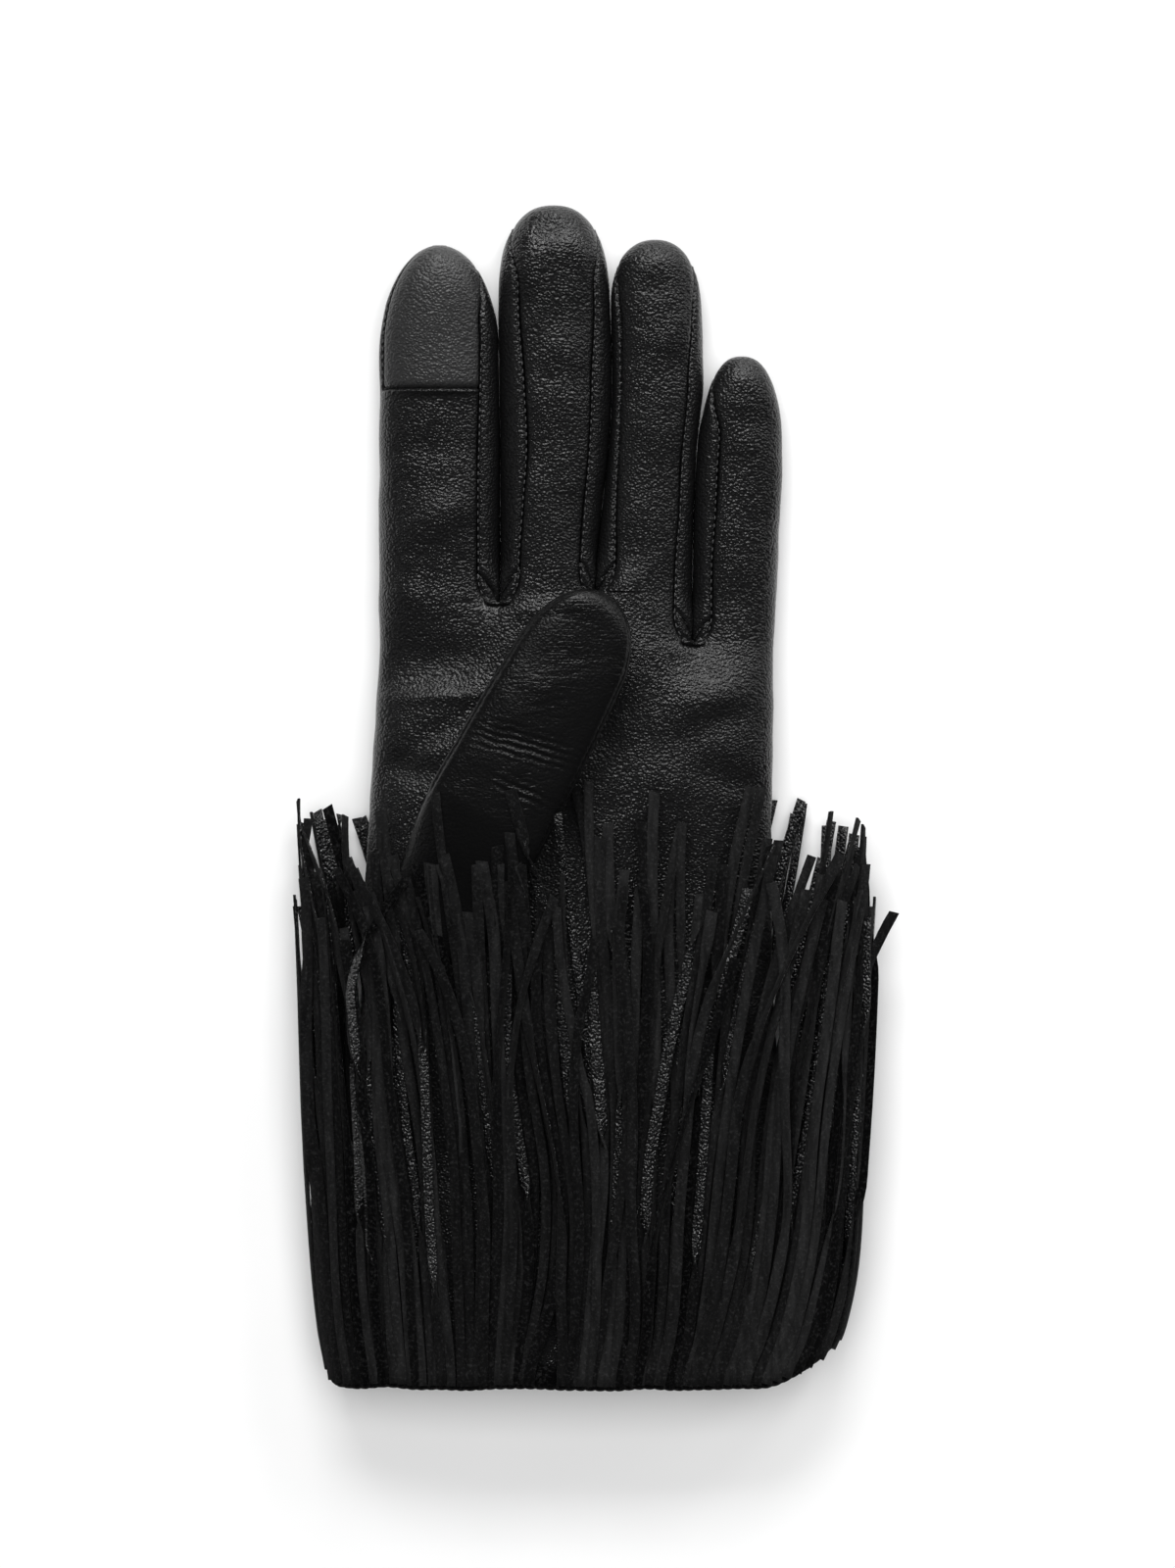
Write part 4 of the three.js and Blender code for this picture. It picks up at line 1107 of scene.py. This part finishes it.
def thumb_seam(grid):
    """The seam down both of the thumb's sides, round its tip."""
    sides = grid.shape[1]
    right = round(THUMB_SEAM / (2 * math.pi) * sides)
    left = sides // 2 - right
    return np.concatenate([grid[THUMB_BASE_ROWS:, left], grid[THUMB_BASE_ROWS:, right][::-1]])


def thumb(leather):
    """The folded thumb, open where it is sewn to the palm and closed at its tip by a fan of triangles."""
    grid = thumb_grid()
    rows, sides = grid.shape[:2]
    faces = grid_faces(rows, sides, upward=True, closed=True)
    points = grid.reshape(-1, 3)
    normals = sheet_normals(points, faces)
    tip = grid[-1].mean(axis=0)
    from_tip = np.linalg.norm(points - tip, axis=1)
    share = THUMB_SEAM_SHARE * smooth((from_tip - THUMB_TIP_BARE) / THUMB_TIP_CALM)
    move = -SeamField([thumb_seam(grid)]).sink(points, normals, share)
    move -= crease_groups(points, THUMB_CREASES) * clamp01(normals[:, 2])
    move += dented(points, THUMB_DENTS)
    points = np.concatenate([points + normals * move[:, None], [tip]])
    last = (rows - 1) * sides + np.arange(sides)
    cap = [(b, a, len(points) - 1) for a, b in zip(last, np.roll(last, -1))]
    piece = object_from("thumb_leather_painted_shade", points, list(faces) + cap, [leather], thickness=LEATHER)
    return placed(piece, "leather", "thumb")


def stitch_points(place, ahead, outward):
    """Rings of points of one stitch along the direction ahead."""
    side = np.cross(ahead, outward)
    side /= np.linalg.norm(side)
    up = np.cross(side, ahead)
    points = []
    for reach, wide in STITCH_FORM:
        middle = place - up * STITCH_SINK + ahead * (STITCH_LENGTH * reach)
        for turn in np.linspace(0, 2 * math.pi, STITCH_SIDES, endpoint=False):
            points.append(middle + (side * math.cos(turn) + up * math.sin(turn)) * (STITCH_RADIUS * wide))
    return np.array(points)


def stitches(lines, surface, thread):
    """Short stitches along the seams, half sunk between the edges of the leather."""
    rings = len(STITCH_FORM)
    wall = grid_faces(rings, STITCH_SIDES, upward=True, closed=True)
    ring = np.arange(STITCH_SIDES)
    points, faces = [], []
    for line in lines:
        places, _ = resampled(line, STITCH_PITCH)
        direction = np.gradient(places, axis=0)
        direction /= np.linalg.norm(direction, axis=1, keepdims=True)
        sewn = below_tip(places) > STITCH_START
        sewn[[0, -1]] = False
        for place, ahead in zip(places[sewn], direction[sewn]):
            outward = np.array(surface.find_nearest(Vector(place) * MM)[1])
            start = len(points) * rings * STITCH_SIDES
            points.append(stitch_points(place, ahead, outward))
            faces += (wall + start).tolist()
            faces.append((start + ring).tolist())
            faces.append((start + (rings - 1) * STITCH_SIDES + ring[::-1]).tolist())
    piece = object_from("seam_stitches", np.concatenate(points), faces, [thread])
    return placed(piece, "leather")


def fringe_section(fringe, y, raised):
    """Section that a row of fringe follows, raised above the cuff's on the palm or the table on the back."""
    left = read(FRINGE_EDGES, "left", y) + fringe["inset"]
    right = read(FRINGE_EDGES, "right", y) - fringe["inset"]
    hand = hand_section(y)
    half = (right - left) / 2
    return SimpleNamespace(
        middle=(left + right) / 2,
        wide_left=half,
        wide_right=half,
        level=hand.level,
        up=hand.up + raised,
        down=hand.level - raised,
        bottom=raised,
    )


def even_angles(fringe):
    """Angles round a row's section, the share of the way round at each, and the way's length."""
    angle = np.linspace(math.pi, 0, WAY_POINTS)
    section = fringe_section(fringe, np.full(WAY_POINTS, WAY_Y), fringe["level"])
    x, z = section_point(section, angle, fringe["side"], HAND_ROUND)
    steps = np.hypot(np.diff(x), np.diff(z))
    lengths = np.concatenate([[0], np.cumsum(steps)])
    return angle, lengths / lengths[-1], lengths[-1]


def hem_rise(share):
    """How far the hem lies above its lowest line: rounded at both ends, more so at the +X one, and uneven."""
    uneven = np.array([noise.noise((HEM_WAVES * s, 0.5, 0.5)) for s in share.ravel()]).reshape(share.shape)
    right = clamp01((share - RIGHT_CORNER.start) / RIGHT_CORNER.length)
    left = clamp01((LEFT_CORNER.start - share) / LEFT_CORNER.length)
    corners = RIGHT_CORNER.height * right**RIGHT_CORNER.power + LEFT_CORNER.height * left**LEFT_CORNER.power
    return corners + HEM_UNEVEN * (1 + uneven)


def strands_of(fringe, random):
    """Roots, tips, leans and layers of a row's strands: the even ones, and some loose ones on top of them."""
    number = np.arange(STRANDS)
    root = (number + 0.5) / STRANDS
    shorter = (random.random(STRANDS) < fringe["cut_short"]) * random.uniform(*SHORTENED, STRANDS)
    uneven = random.uniform(-fringe["uneven"], fringe["uneven"], STRANDS)
    tip = fringe["tip"] - fringe["drop"] * read(TIP_DROP, "drop", root, "share") + uneven - shorter
    if fringe["name"] == "fringe_palm_long":
        by_thumb = (root > BY_THUMB.first) & (root < BY_THUMB.last)
        cut_off = by_thumb & (number % BY_THUMB.every != BY_THUMB.kept)
        tip = np.where(cut_off, np.minimum(tip, BY_THUMB.tip), tip)
    lean = random.normal(0, LEAN_SPREAD, STRANDS)
    stray = random.random(STRANDS) < STRAY_SHARE
    lean = np.where(stray, random.choice([-1, 1], STRANDS) * random.uniform(*STRAY_LEAN, STRANDS), lean)
    layer = np.where(stray, fringe["layers"], number % fringe["layers"])
    none = np.zeros(STRANDS)
    even = dict(root=root, tip=tip, lean=lean, start=none, out=none, layer=layer.astype(float))
    if fringe["name"] != "fringe_palm_short":
        return SimpleNamespace(**even)
    first, step = LOOSE_LAYER
    loose = dict(LOOSE_STRANDS, layer=fringe["layers"] + first + step * np.arange(len(LOOSE_STRANDS["root"])))
    return SimpleNamespace(**{key: np.concatenate([even[key], loose[key]]) for key in even})


def late(strands, reach):
    """How far along the part of each strand that lies after the place where it starts to stray."""
    start = strands.start[:, None]
    return clamp01((reach - start) / (1 - start))


def spread(strands, reach):
    """How far the strands are spread at the band's joint, as a share of the row's width."""
    away = strands.root - BAND_JOINT
    opening = JOINT_OPENING * np.sign(away) * np.exp(-np.abs(away) / JOINT_OPENING)
    return opening[:, None] * (1 - smooth(reach / ROOT_LENGTH))


def clump(root, place, seed):
    """How far a place on a strand moves sideways together with its neighbours."""
    return sum(
        height * noise.noise((waves * root, waves_along * place, seed + more))
        for height, waves, waves_along, more in CLUMPS
    )


def sideways(strands, reach, random, seed):
    """How far the strands stray from straight lines, in clumps and one by one."""
    count = len(strands.root)
    loose = HELD_SHARE + (1 - HELD_SHARE) * smooth(reach / FREE_FROM)
    clumps = np.array([[clump(root, place, seed) for place in reach[0]] for root in strands.root])
    bend = random.normal(0, BEND_SPREAD, count)[:, None]
    phase = random.uniform(0, 2 * math.pi, count)[:, None]
    end = clamp01((reach - CURL_START) / (1 - CURL_START))
    curl = random.normal(0, CURL_SPREAD, count)[:, None] * end**2
    fan = read(FAN, "lean", strands.root, "share")[:, None]
    steady = 1 - EDGE_CALM * np.abs(2 * strands.root - 1)[:, None] ** 4
    return (
        clumps * loose * steady
        + strands.lean[:, None] * late(strands, reach) ** LOOSE_POWER
        + fan * reach**FAN_POWER
        + curl
        + bend * np.sin(BEND_WAVE * reach + phase) * loose
    )


def twists(count, reach, random):
    """Turn of each strand about its own line: most waver, some lie on edge, some show their grained side."""
    phase = random.uniform(0, 2 * math.pi, count)[:, None]
    start = random.uniform(*TURN_START, count)[:, None]
    length = random.uniform(*TURN_REACH, count)[:, None]
    kind = random.random(count)[:, None]
    turn = random.choice([-1, 1], count)[:, None]
    up = smooth((reach - start) / TURN_LENGTH)
    down = smooth((reach - start - length) / TURN_LENGTH)
    on_edge = random.uniform(*EDGE_TURN, count)[:, None] * (up - down)
    turned_over = math.pi * (up + down)
    waver = WAVER * np.sin(WAVER_WAVE * reach + phase) * smooth(reach / WAVER_FROM)
    return turn * np.where(kind < EDGE_KIND, on_edge, np.where(kind > OVER_KIND, turned_over, 0)) + waver


def on_row(fringe, y, raised, share):
    """Places on a row of fringe at shares of the way round it, and the directions that point away from it."""
    angles, shares, _ = even_angles(fringe)
    angle = np.interp(share, shares, angles) + 0 * y
    section = fringe_section(fringe, y, raised)
    x, z = section_point(section, angle, fringe["side"], HAND_ROUND)
    return np.stack([x, y, z], axis=-1), outward_of(section, angle, fringe["side"])


def row_shares(fringe, strands, reach, aside):
    """Share of the way round the row at each strand's stations."""
    edge = 0.5 / STRANDS
    share = mix(edge, 1 - edge, strands.root[:, None]) + aside
    if fringe["side"] == PALM:
        share = share + spread(strands, reach)
    return np.clip(share, *ROW_ENDS)


def strand_paths(fringe, cover):
    """Centre lines, outward directions, twists, widths, slants and shades of a row's strands."""
    random = np.random.default_rng(fringe["seed"])
    around = even_angles(fringe)[2]
    strands = strands_of(fringe, random)
    count = len(strands.root)
    reach = np.linspace(0, 1, STRAND_STATIONS)[None, :]
    root_y = FRINGE_HEM + ROOT_RISE + hem_rise(strands.root)
    y = mix(root_y[:, None], strands.tip[:, None], reach)
    aside = sideways(strands, reach, random, fringe["seed"])
    raised = fringe["level"] + fringe["layer"] * strands.layer[:, None] * smooth(reach / ROOT_LENGTH)
    path, outward = on_row(fringe, y, raised, row_shares(fringe, strands, reach, aside / around))
    stray = late(strands, reach)
    path[..., 0] += strands.out[:, None] * stray**LOOSE_POWER
    inner = smooth((1 - np.abs(2 * strands.root - 1)) / EDGE_FLAT)[:, None]
    flat_outside = math.pi / 2 * (strands.out > 1)[:, None] * stray
    twist = twists(count, reach, random) * inner + flat_outside
    width = STRAND_WIDTH * random.uniform(*STRAND_WIDTHS, count)
    on_edge = (width[:, None] - STRAND_THICKNESS) / 2 * np.abs(np.sin(twist))
    if fringe["side"] == PALM:
        path += outward * on_edge[..., None]
        path[..., 2] += cover(path)
    return SimpleNamespace(
        path=path,
        outward=outward,
        twist=twist,
        width=width,
        slant=random.uniform(-STRAND_SLANT, STRAND_SLANT, count),
        shade=random.uniform(0, LIGHTEST, count),
    )


def outward_of(section, angle, side):
    """Unit direction away from a row's section at an angle round it."""
    turn = 0.015  # to either side, between which the section's direction is taken
    x_before, z_before = section_point(section, np.clip(angle + turn, 0, math.pi), side, HAND_ROUND)
    x_after, z_after = section_point(section, np.clip(angle - turn, 0, math.pi), side, HAND_ROUND)
    across = np.stack([x_after - x_before, 0 * x_after, z_after - z_before], axis=-1)
    across /= np.maximum(np.linalg.norm(across, axis=-1, keepdims=True), 1e-9)
    return np.cross(across, [0, 1, 0]) * side


def thumb_cover(surface):
    """Makes the function that lifts strands clear of the thumb's root."""

    def lift(path):
        needed = np.zeros(path.shape[:2])
        for strand in range(path.shape[0]):
            for station in range(path.shape[1]):
                x, y, z = path[strand, station]
                if y < COVER_FROM:
                    continue
                hit = surface.ray_cast(Vector((x, y, ABOVE_ALL)) * MM, Vector((0, 0, -1)))[0]
                if hit is not None:
                    needed[strand, station] = max(0, hit.z / MM + COVER_CLEARANCE - z)
            away = np.abs(path[strand, :, 1][:, None] - path[strand, :, 1][None, :])
            needed[strand] = (needed[strand][None, :] - COVER_SLOPE * away).max(axis=1).clip(0)
        return needed

    return lift


def strand_points(strands):
    """Points of flat strands with slanting ends: strand, station along it, and corner of its section."""
    ahead = np.gradient(strands.path, axis=1)
    ahead /= np.linalg.norm(ahead, axis=-1, keepdims=True)
    side = np.cross(ahead, strands.outward)
    side /= np.linalg.norm(side, axis=-1, keepdims=True)
    up = np.cross(side, ahead)
    cosine, sine = np.cos(strands.twist)[..., None], np.sin(strands.twist)[..., None]
    wide, thick = side * cosine + up * sine, up * cosine - side * sine
    corner = np.array(STRAND_SECTION)
    half_width = corner[:, 0] * strands.width[:, None] / 2
    half_thickness = corner[:, 1] * STRAND_THICKNESS / 2
    points = (
        strands.path[:, :, None, :]
        + wide[:, :, None, :] * half_width[:, None, :, None]
        + thick[:, :, None, :] * half_thickness[None, None, :, None]
    )
    points[:, -1] += ahead[:, -1, None, :] * (half_width * strands.slant[:, None])[..., None]
    points[..., 2] = np.maximum(points[..., 2], 0)
    return points


def strand_mesh(strands):
    """Points and faces of a row's strands, and which faces lie on their grained side."""
    points = strand_points(strands)
    count, stations, ring = points.shape[:3]
    one = grid_faces(stations, ring, upward=True, closed=True)
    grained = np.isin(np.tile(np.arange(ring), stations - 1), GRAINED_SIDES)
    faces, materials = [], []
    for strand in range(count):
        start = strand * stations * ring
        faces += (one + start).tolist()
        materials += grained.astype(int).tolist()
        last = start + (stations - 1) * ring
        faces.append([start + i for i in range(ring)])
        faces.append([last + i for i in reversed(range(ring))])
        materials += [0, 0]
    return points.reshape(-1, 3), faces, materials


def head_band(fringe):
    """The uncut band that the strands hang from; the shorter row's is folded round the hem to the inside."""
    share = np.linspace(*BAND_ENDS, STRANDS * BAND_STEPS + 1)[None, :]
    deeper = 1 + BAND_END.deeper * clamp01((share - BAND_END.start) / BAND_END.length)
    forward, inward = BAND_FOLD["forward"][:, None], BAND_FOLD["inward"][:, None] * deeper
    if fringe["name"].endswith("long"):
        forward, inward = forward[:LONG_FOLD_ROWS], inward[:LONG_FOLD_ROWS]
    cut = np.sqrt(np.abs(np.sin(math.pi * share * STRANDS)))
    bulge = CUT_BULGE * (cut - 1) * clamp01(1 - inward)
    y = FRINGE_HEM + hem_rise(share) + forward - CUT_SHIFT * cut * clamp01(1 - forward / CUT_REACH)
    points, outward = on_row(fringe, y, fringe["level"] - BAND_SINK * fringe["side"], share)
    points = points + outward * (bulge - inward)[..., None]
    return points, grid_faces(*points.shape[:2], upward=fringe["side"] == PALM)


def fringe_strands(fringe, cover, suede, grain):
    """One row of strands, each with a shade of its own."""
    strands = strand_paths(fringe, cover)
    points, faces, materials = strand_mesh(strands)
    piece = object_from(fringe["name"] + "_strands", points, faces, [suede, grain], face_materials=materials)
    shade = np.repeat(strands.shade, len(points) // len(strands.shade)).astype(np.float32)
    piece.data.attributes.new("shade", "FLOAT", "POINT").data.foreach_set("value", shade)
    return placed(piece, "suede", fringe["name"])


def fringe_band(fringe, suede):
    """The band of a row."""
    points, faces = head_band(fringe)
    thickness = BAND_THICKNESS * STRAND_THICKNESS
    piece = object_from(fringe["name"] + "_band", points.reshape(-1, 3), faces, [suede], thickness=thickness)
    return placed(piece, "suede")


def feed(tree, node, inputs):
    """Links or sets a node's inputs."""
    for name, value in inputs.items():
        if isinstance(value, bpy.types.NodeSocket):
            tree.links.new(value, node.inputs[name])
        else:
            node.inputs[name].default_value = value


def add_node(tree, kind, inputs=None, **settings):
    """A node with its settings made and its inputs linked or set."""
    made = tree.nodes.new(kind)
    for name, value in settings.items():
        setattr(made, name, value)
    feed(tree, made, inputs or {})
    return made


def new_material(name):
    """A material with its nodes, its shader, and the place on the object in metres."""
    material = bpy.data.materials.new(name)
    material.use_nodes = True
    tree = material.node_tree
    shader = tree.nodes["Principled BSDF"]
    place = add_node(tree, "ShaderNodeTexCoord").outputs["Object"]
    return material, tree, shader, place


def scaled(tree, place, scale, turn=0.0):
    """Coordinates in which a texture repeats at another size along each axis."""
    inputs = {"Vector": place, "Scale": scale, "Rotation": (0, 0, turn)}
    return add_node(tree, "ShaderNodeMapping", inputs).outputs["Vector"]


def ranged(tree, value, low, high, to_low=0.0, to_high=1.0):
    """A value brought from one range to another."""
    inputs = {"Value": value, "From Min": low, "From Max": high, "To Min": to_low, "To Max": to_high}
    return add_node(tree, "ShaderNodeMapRange", inputs).outputs["Result"]


def maths(tree, operation, *values):
    """The result of an operation on values."""
    return add_node(tree, "ShaderNodeMath", dict(enumerate(values)), operation=operation).outputs[0]


def vector_maths(tree, operation, *values):
    """The result of an operation on vectors."""
    return add_node(tree, "ShaderNodeVectorMath", dict(enumerate(values)), operation=operation).outputs[0]


def clouds(tree, place, scale, detail, **more):
    """A noise texture's outputs."""
    inputs = {"Vector": place, "Scale": scale, "Detail": detail, **more}
    return add_node(tree, "ShaderNodeTexNoise", inputs).outputs


def pebbles(tree, place, scale, high):
    """Heights of small pebbles, from 1 in the middle of each to 0 between them."""
    inputs = {"Vector": place, "Scale": scale}
    cells = add_node(tree, "ShaderNodeTexVoronoi", inputs, feature="SMOOTH_F1")
    return ranged(tree, cells.outputs["Distance"], 0.05, high, to_low=1.0, to_high=0.0)


def relief(tree, height, strength, distance, **below):
    """Normals that follow a height, on top of those below when these are given."""
    inputs = {"Height": height, "Strength": strength, "Distance": distance, **below}
    return add_node(tree, "ShaderNodeBump", inputs).outputs["Normal"]


def two_tone(tree, factor, dark, light):
    """A grey between two, given as their colours."""
    mixer = add_node(tree, "ShaderNodeMix", data_type="RGBA")
    tree.links.new(factor, mixer.inputs[0])
    mixer.inputs[6].default_value = (*dark, 1)
    mixer.inputs[7].default_value = (*light, 1)
    return mixer.outputs[2]


def leather_creases(tree, bent, patches):
    """Short creases across the fingers, in patches: 1 on the leather and 0 in a crease."""
    drawn_out = scaled(tree, bent, (90.0, 620.0, 300.0), turn=0.12)
    lines = clouds(tree, drawn_out, scale=1.0, detail=2.0)["Fac"]
    ridge = maths(tree, "ABSOLUTE", maths(tree, "SUBTRACT", lines, 0.5))
    creased = ranged(tree, patches, low=0.42, high=0.62)
    sharp = ranged(tree, ridge, low=0.0, high=0.06)
    return add_node(tree, "ShaderNodeMix", {0: creased, 2: 1.0, 3: sharp}).outputs[0]


def leather_material(name, dark, light, roughness, shine, grain, crease):
    """Fine-grained leather: pebbles, short creases across the fingers, and an uneven shine."""
    material, tree, shader, place = new_material(name)
    warp = clouds(tree, place, scale=300.0, detail=2.0)["Color"]
    shift = vector_maths(tree, "MULTIPLY", warp, (0.0006,) * 3)
    bent = vector_maths(tree, "ADD", place, shift)
    patches = clouds(tree, place, scale=55.0, detail=2.0)["Fac"]
    fine = clouds(tree, place, scale=2600.0, detail=3.0)["Fac"]
    grains = pebbles(tree, scaled(tree, bent, (0.95, 1.1, 1.0)), scale=1900.0, high=0.75)
    normal = relief(tree, leather_creases(tree, bent, patches), strength=crease, distance=0.00025)
    normal = relief(tree, grains, strength=grain, distance=0.0003, Normal=normal)
    normal = relief(tree, fine, strength=0.15, distance=0.0001, Normal=normal)
    rougher, smoother = roughness + ROUGHNESS_SWING, roughness - ROUGHNESS_SWING
    inputs = {
        "Base Color": two_tone(tree, patches, dark, light),
        "Roughness": ranged(tree, patches, low=0.3, high=0.7, to_low=rougher, to_high=smoother),
        "Specular IOR Level": shine,
        "Normal": normal,
    }
    feed(tree, shader, inputs)
    return material


def suede_material():
    """Matt suede with a short nap, a little different from strand to strand."""
    material, tree, shader, place = new_material("black_suede")
    nap = clouds(tree, place, scale=1500.0, detail=4.0, Roughness=0.75)["Fac"]
    speckle = ranged(tree, nap, low=0.52, high=0.7)
    along = scaled(tree, place, (900.0, 120.0, 900.0))
    brushed = clouds(tree, along, scale=1.0, detail=2.0)["Fac"]
    shade = add_node(tree, "ShaderNodeAttribute", attribute_name="shade").outputs["Fac"]
    tone = maths(tree, "MULTIPLY_ADD", speckle, 0.6, maths(tree, "MULTIPLY", brushed, shade))
    inputs = {
        "Base Color": two_tone(tree, tone, (0.0008, 0.0008, 0.0009), (0.028, 0.028, 0.0283)),
        "Roughness": 0.92,
        "Specular IOR Level": 0.04,
        "Sheen Weight": 0.02,
        "Sheen Roughness": 0.5,
        "Normal": relief(tree, nap, strength=0.8, distance=0.0003),
    }
    feed(tree, shader, inputs)
    return material


def grain_material():
    """The strands' grained side, which catches the light where a strand is turned."""
    material, tree, shader, place = new_material("black_grain")
    height = pebbles(tree, place, scale=2000.0, high=0.7)
    inputs = {
        "Base Color": two_tone(tree, height, (0.004, 0.004, 0.0042), (0.014, 0.014, 0.0143)),
        "Roughness": 0.28,
        "Specular IOR Level": 0.8,
        "Normal": relief(tree, height, strength=1.0, distance=0.00055),
    }
    feed(tree, shader, inputs)
    return material


def thread_material():
    """Twisted thread, made grey: a painted glint on black thread."""
    material, tree, shader, place = new_material("thread_painted_glint")
    twist = {"Vector": place, "Scale": 1500.0, "Distortion": 1.0}
    twisted = add_node(tree, "ShaderNodeTexWave", twist).outputs["Fac"]
    inputs = {
        # The grey tones are a painted glint: the thread itself is black.
        "Base Color": two_tone(tree, twisted, (0.035, 0.035, 0.036), (0.08, 0.08, 0.081)),
        "Roughness": 0.45,
        "Normal": relief(tree, twisted, strength=0.4, distance=0.0001),
    }
    feed(tree, shader, inputs)
    return material


def floor_material():
    """A pale floor, nearly even."""
    material, tree, shader, place = new_material("pale_floor")
    speck = clouds(tree, place, scale=30.0, detail=3.0)["Fac"]
    tone = two_tone(tree, speck, (0.86, 0.86, 0.86), (0.9, 0.9, 0.9))
    feed(tree, shader, {"Base Color": tone, "Roughness": 0.9})
    return material


def floor():
    """The table that the glove lies on."""
    corners = [(FLOOR_HALF * x, FLOOR_HALF * y, -FLOOR_SINK) for x, y in ((-1, -1), (1, -1), (1, 1), (-1, 1))]
    object_from("floor", corners, [(0, 1, 2, 3)], [floor_material()])


def surface_of(piece):
    """What a ray or a nearest point can be looked for on."""
    mesh = piece.data
    return BVHTree.FromPolygons([v.co for v in mesh.vertices], [list(p.vertices) for p in mesh.polygons])


def area_light(name, place, size, power, mirrored):
    """A rectangular light aimed at the glove; one that isn't mirrored leaves no highlights."""
    data = bpy.data.lights.new(name, "AREA")
    data.shape = "RECTANGLE"
    data.size, data.size_y = size
    data.energy = power
    light = bpy.data.objects.new(name, data)
    light.location = place
    light.rotation_euler = (-Vector(place)).to_track_quat("-Z", "Y").to_euler()
    light.visible_glossy = mirrored
    bpy.context.scene.collection.objects.link(light)


def studio():
    """The lights, the strongest mirrored one beyond the fingertips, in weak light from all round."""
    for name, settings in LIGHTS.items():
        area_light(name, *settings)
    world = bpy.data.worlds.new("studio")
    world.use_nodes = True
    background = world.node_tree.nodes["Background"]
    feed(world.node_tree, background, {"Color": (1, 1, 1, 1), "Strength": SURROUNDINGS})
    bpy.context.scene.world = world
    bpy.context.scene.view_settings.view_transform = "Standard"


def camera():
    """Straight above the palm, with the fingertips at the top of the picture."""
    data = bpy.data.cameras.new("camera")
    data.lens = LENS
    data.sensor_width = SENSOR
    data.clip_end = FARTHEST
    distance = FRAME_HEIGHT * LENS / SENSOR
    made = bpy.data.objects.new("camera", data)
    made.location = (0, CAMERA_Y, distance + GLOVE_HEIGHT)
    bpy.context.scene.collection.objects.link(made)
    bpy.context.scene.camera = made


def main():
    """Builds the pieces in order, and the studio round them."""
    leathers = {name: leather_material(name, *look) for name, look in LEATHERS.items()}
    leather = leathers["black_leather"]
    suede, grain = suede_material(), grain_material()
    palm = hide(leather)
    patch(leathers["patch_leather"])
    for gap_index in range(len(GAPS)):
        fourchette(gap_index, leather)
        gusset(gap_index, leather)
    sewn = [line for name, line in SEAM_LINES.items() if name[0] == "gap" or name == "patch_side"]
    cover = thumb_cover(surface_of(thumb(leathers["thumb_leather_painted_shade"])))
    stitches(sewn, surface_of(palm), thread_material())
    for fringe in FRINGES:
        fringe_strands(fringe, cover, suede, grain)
        fringe_band(fringe, suede)
    floor()
    studio()
    camera()


main()
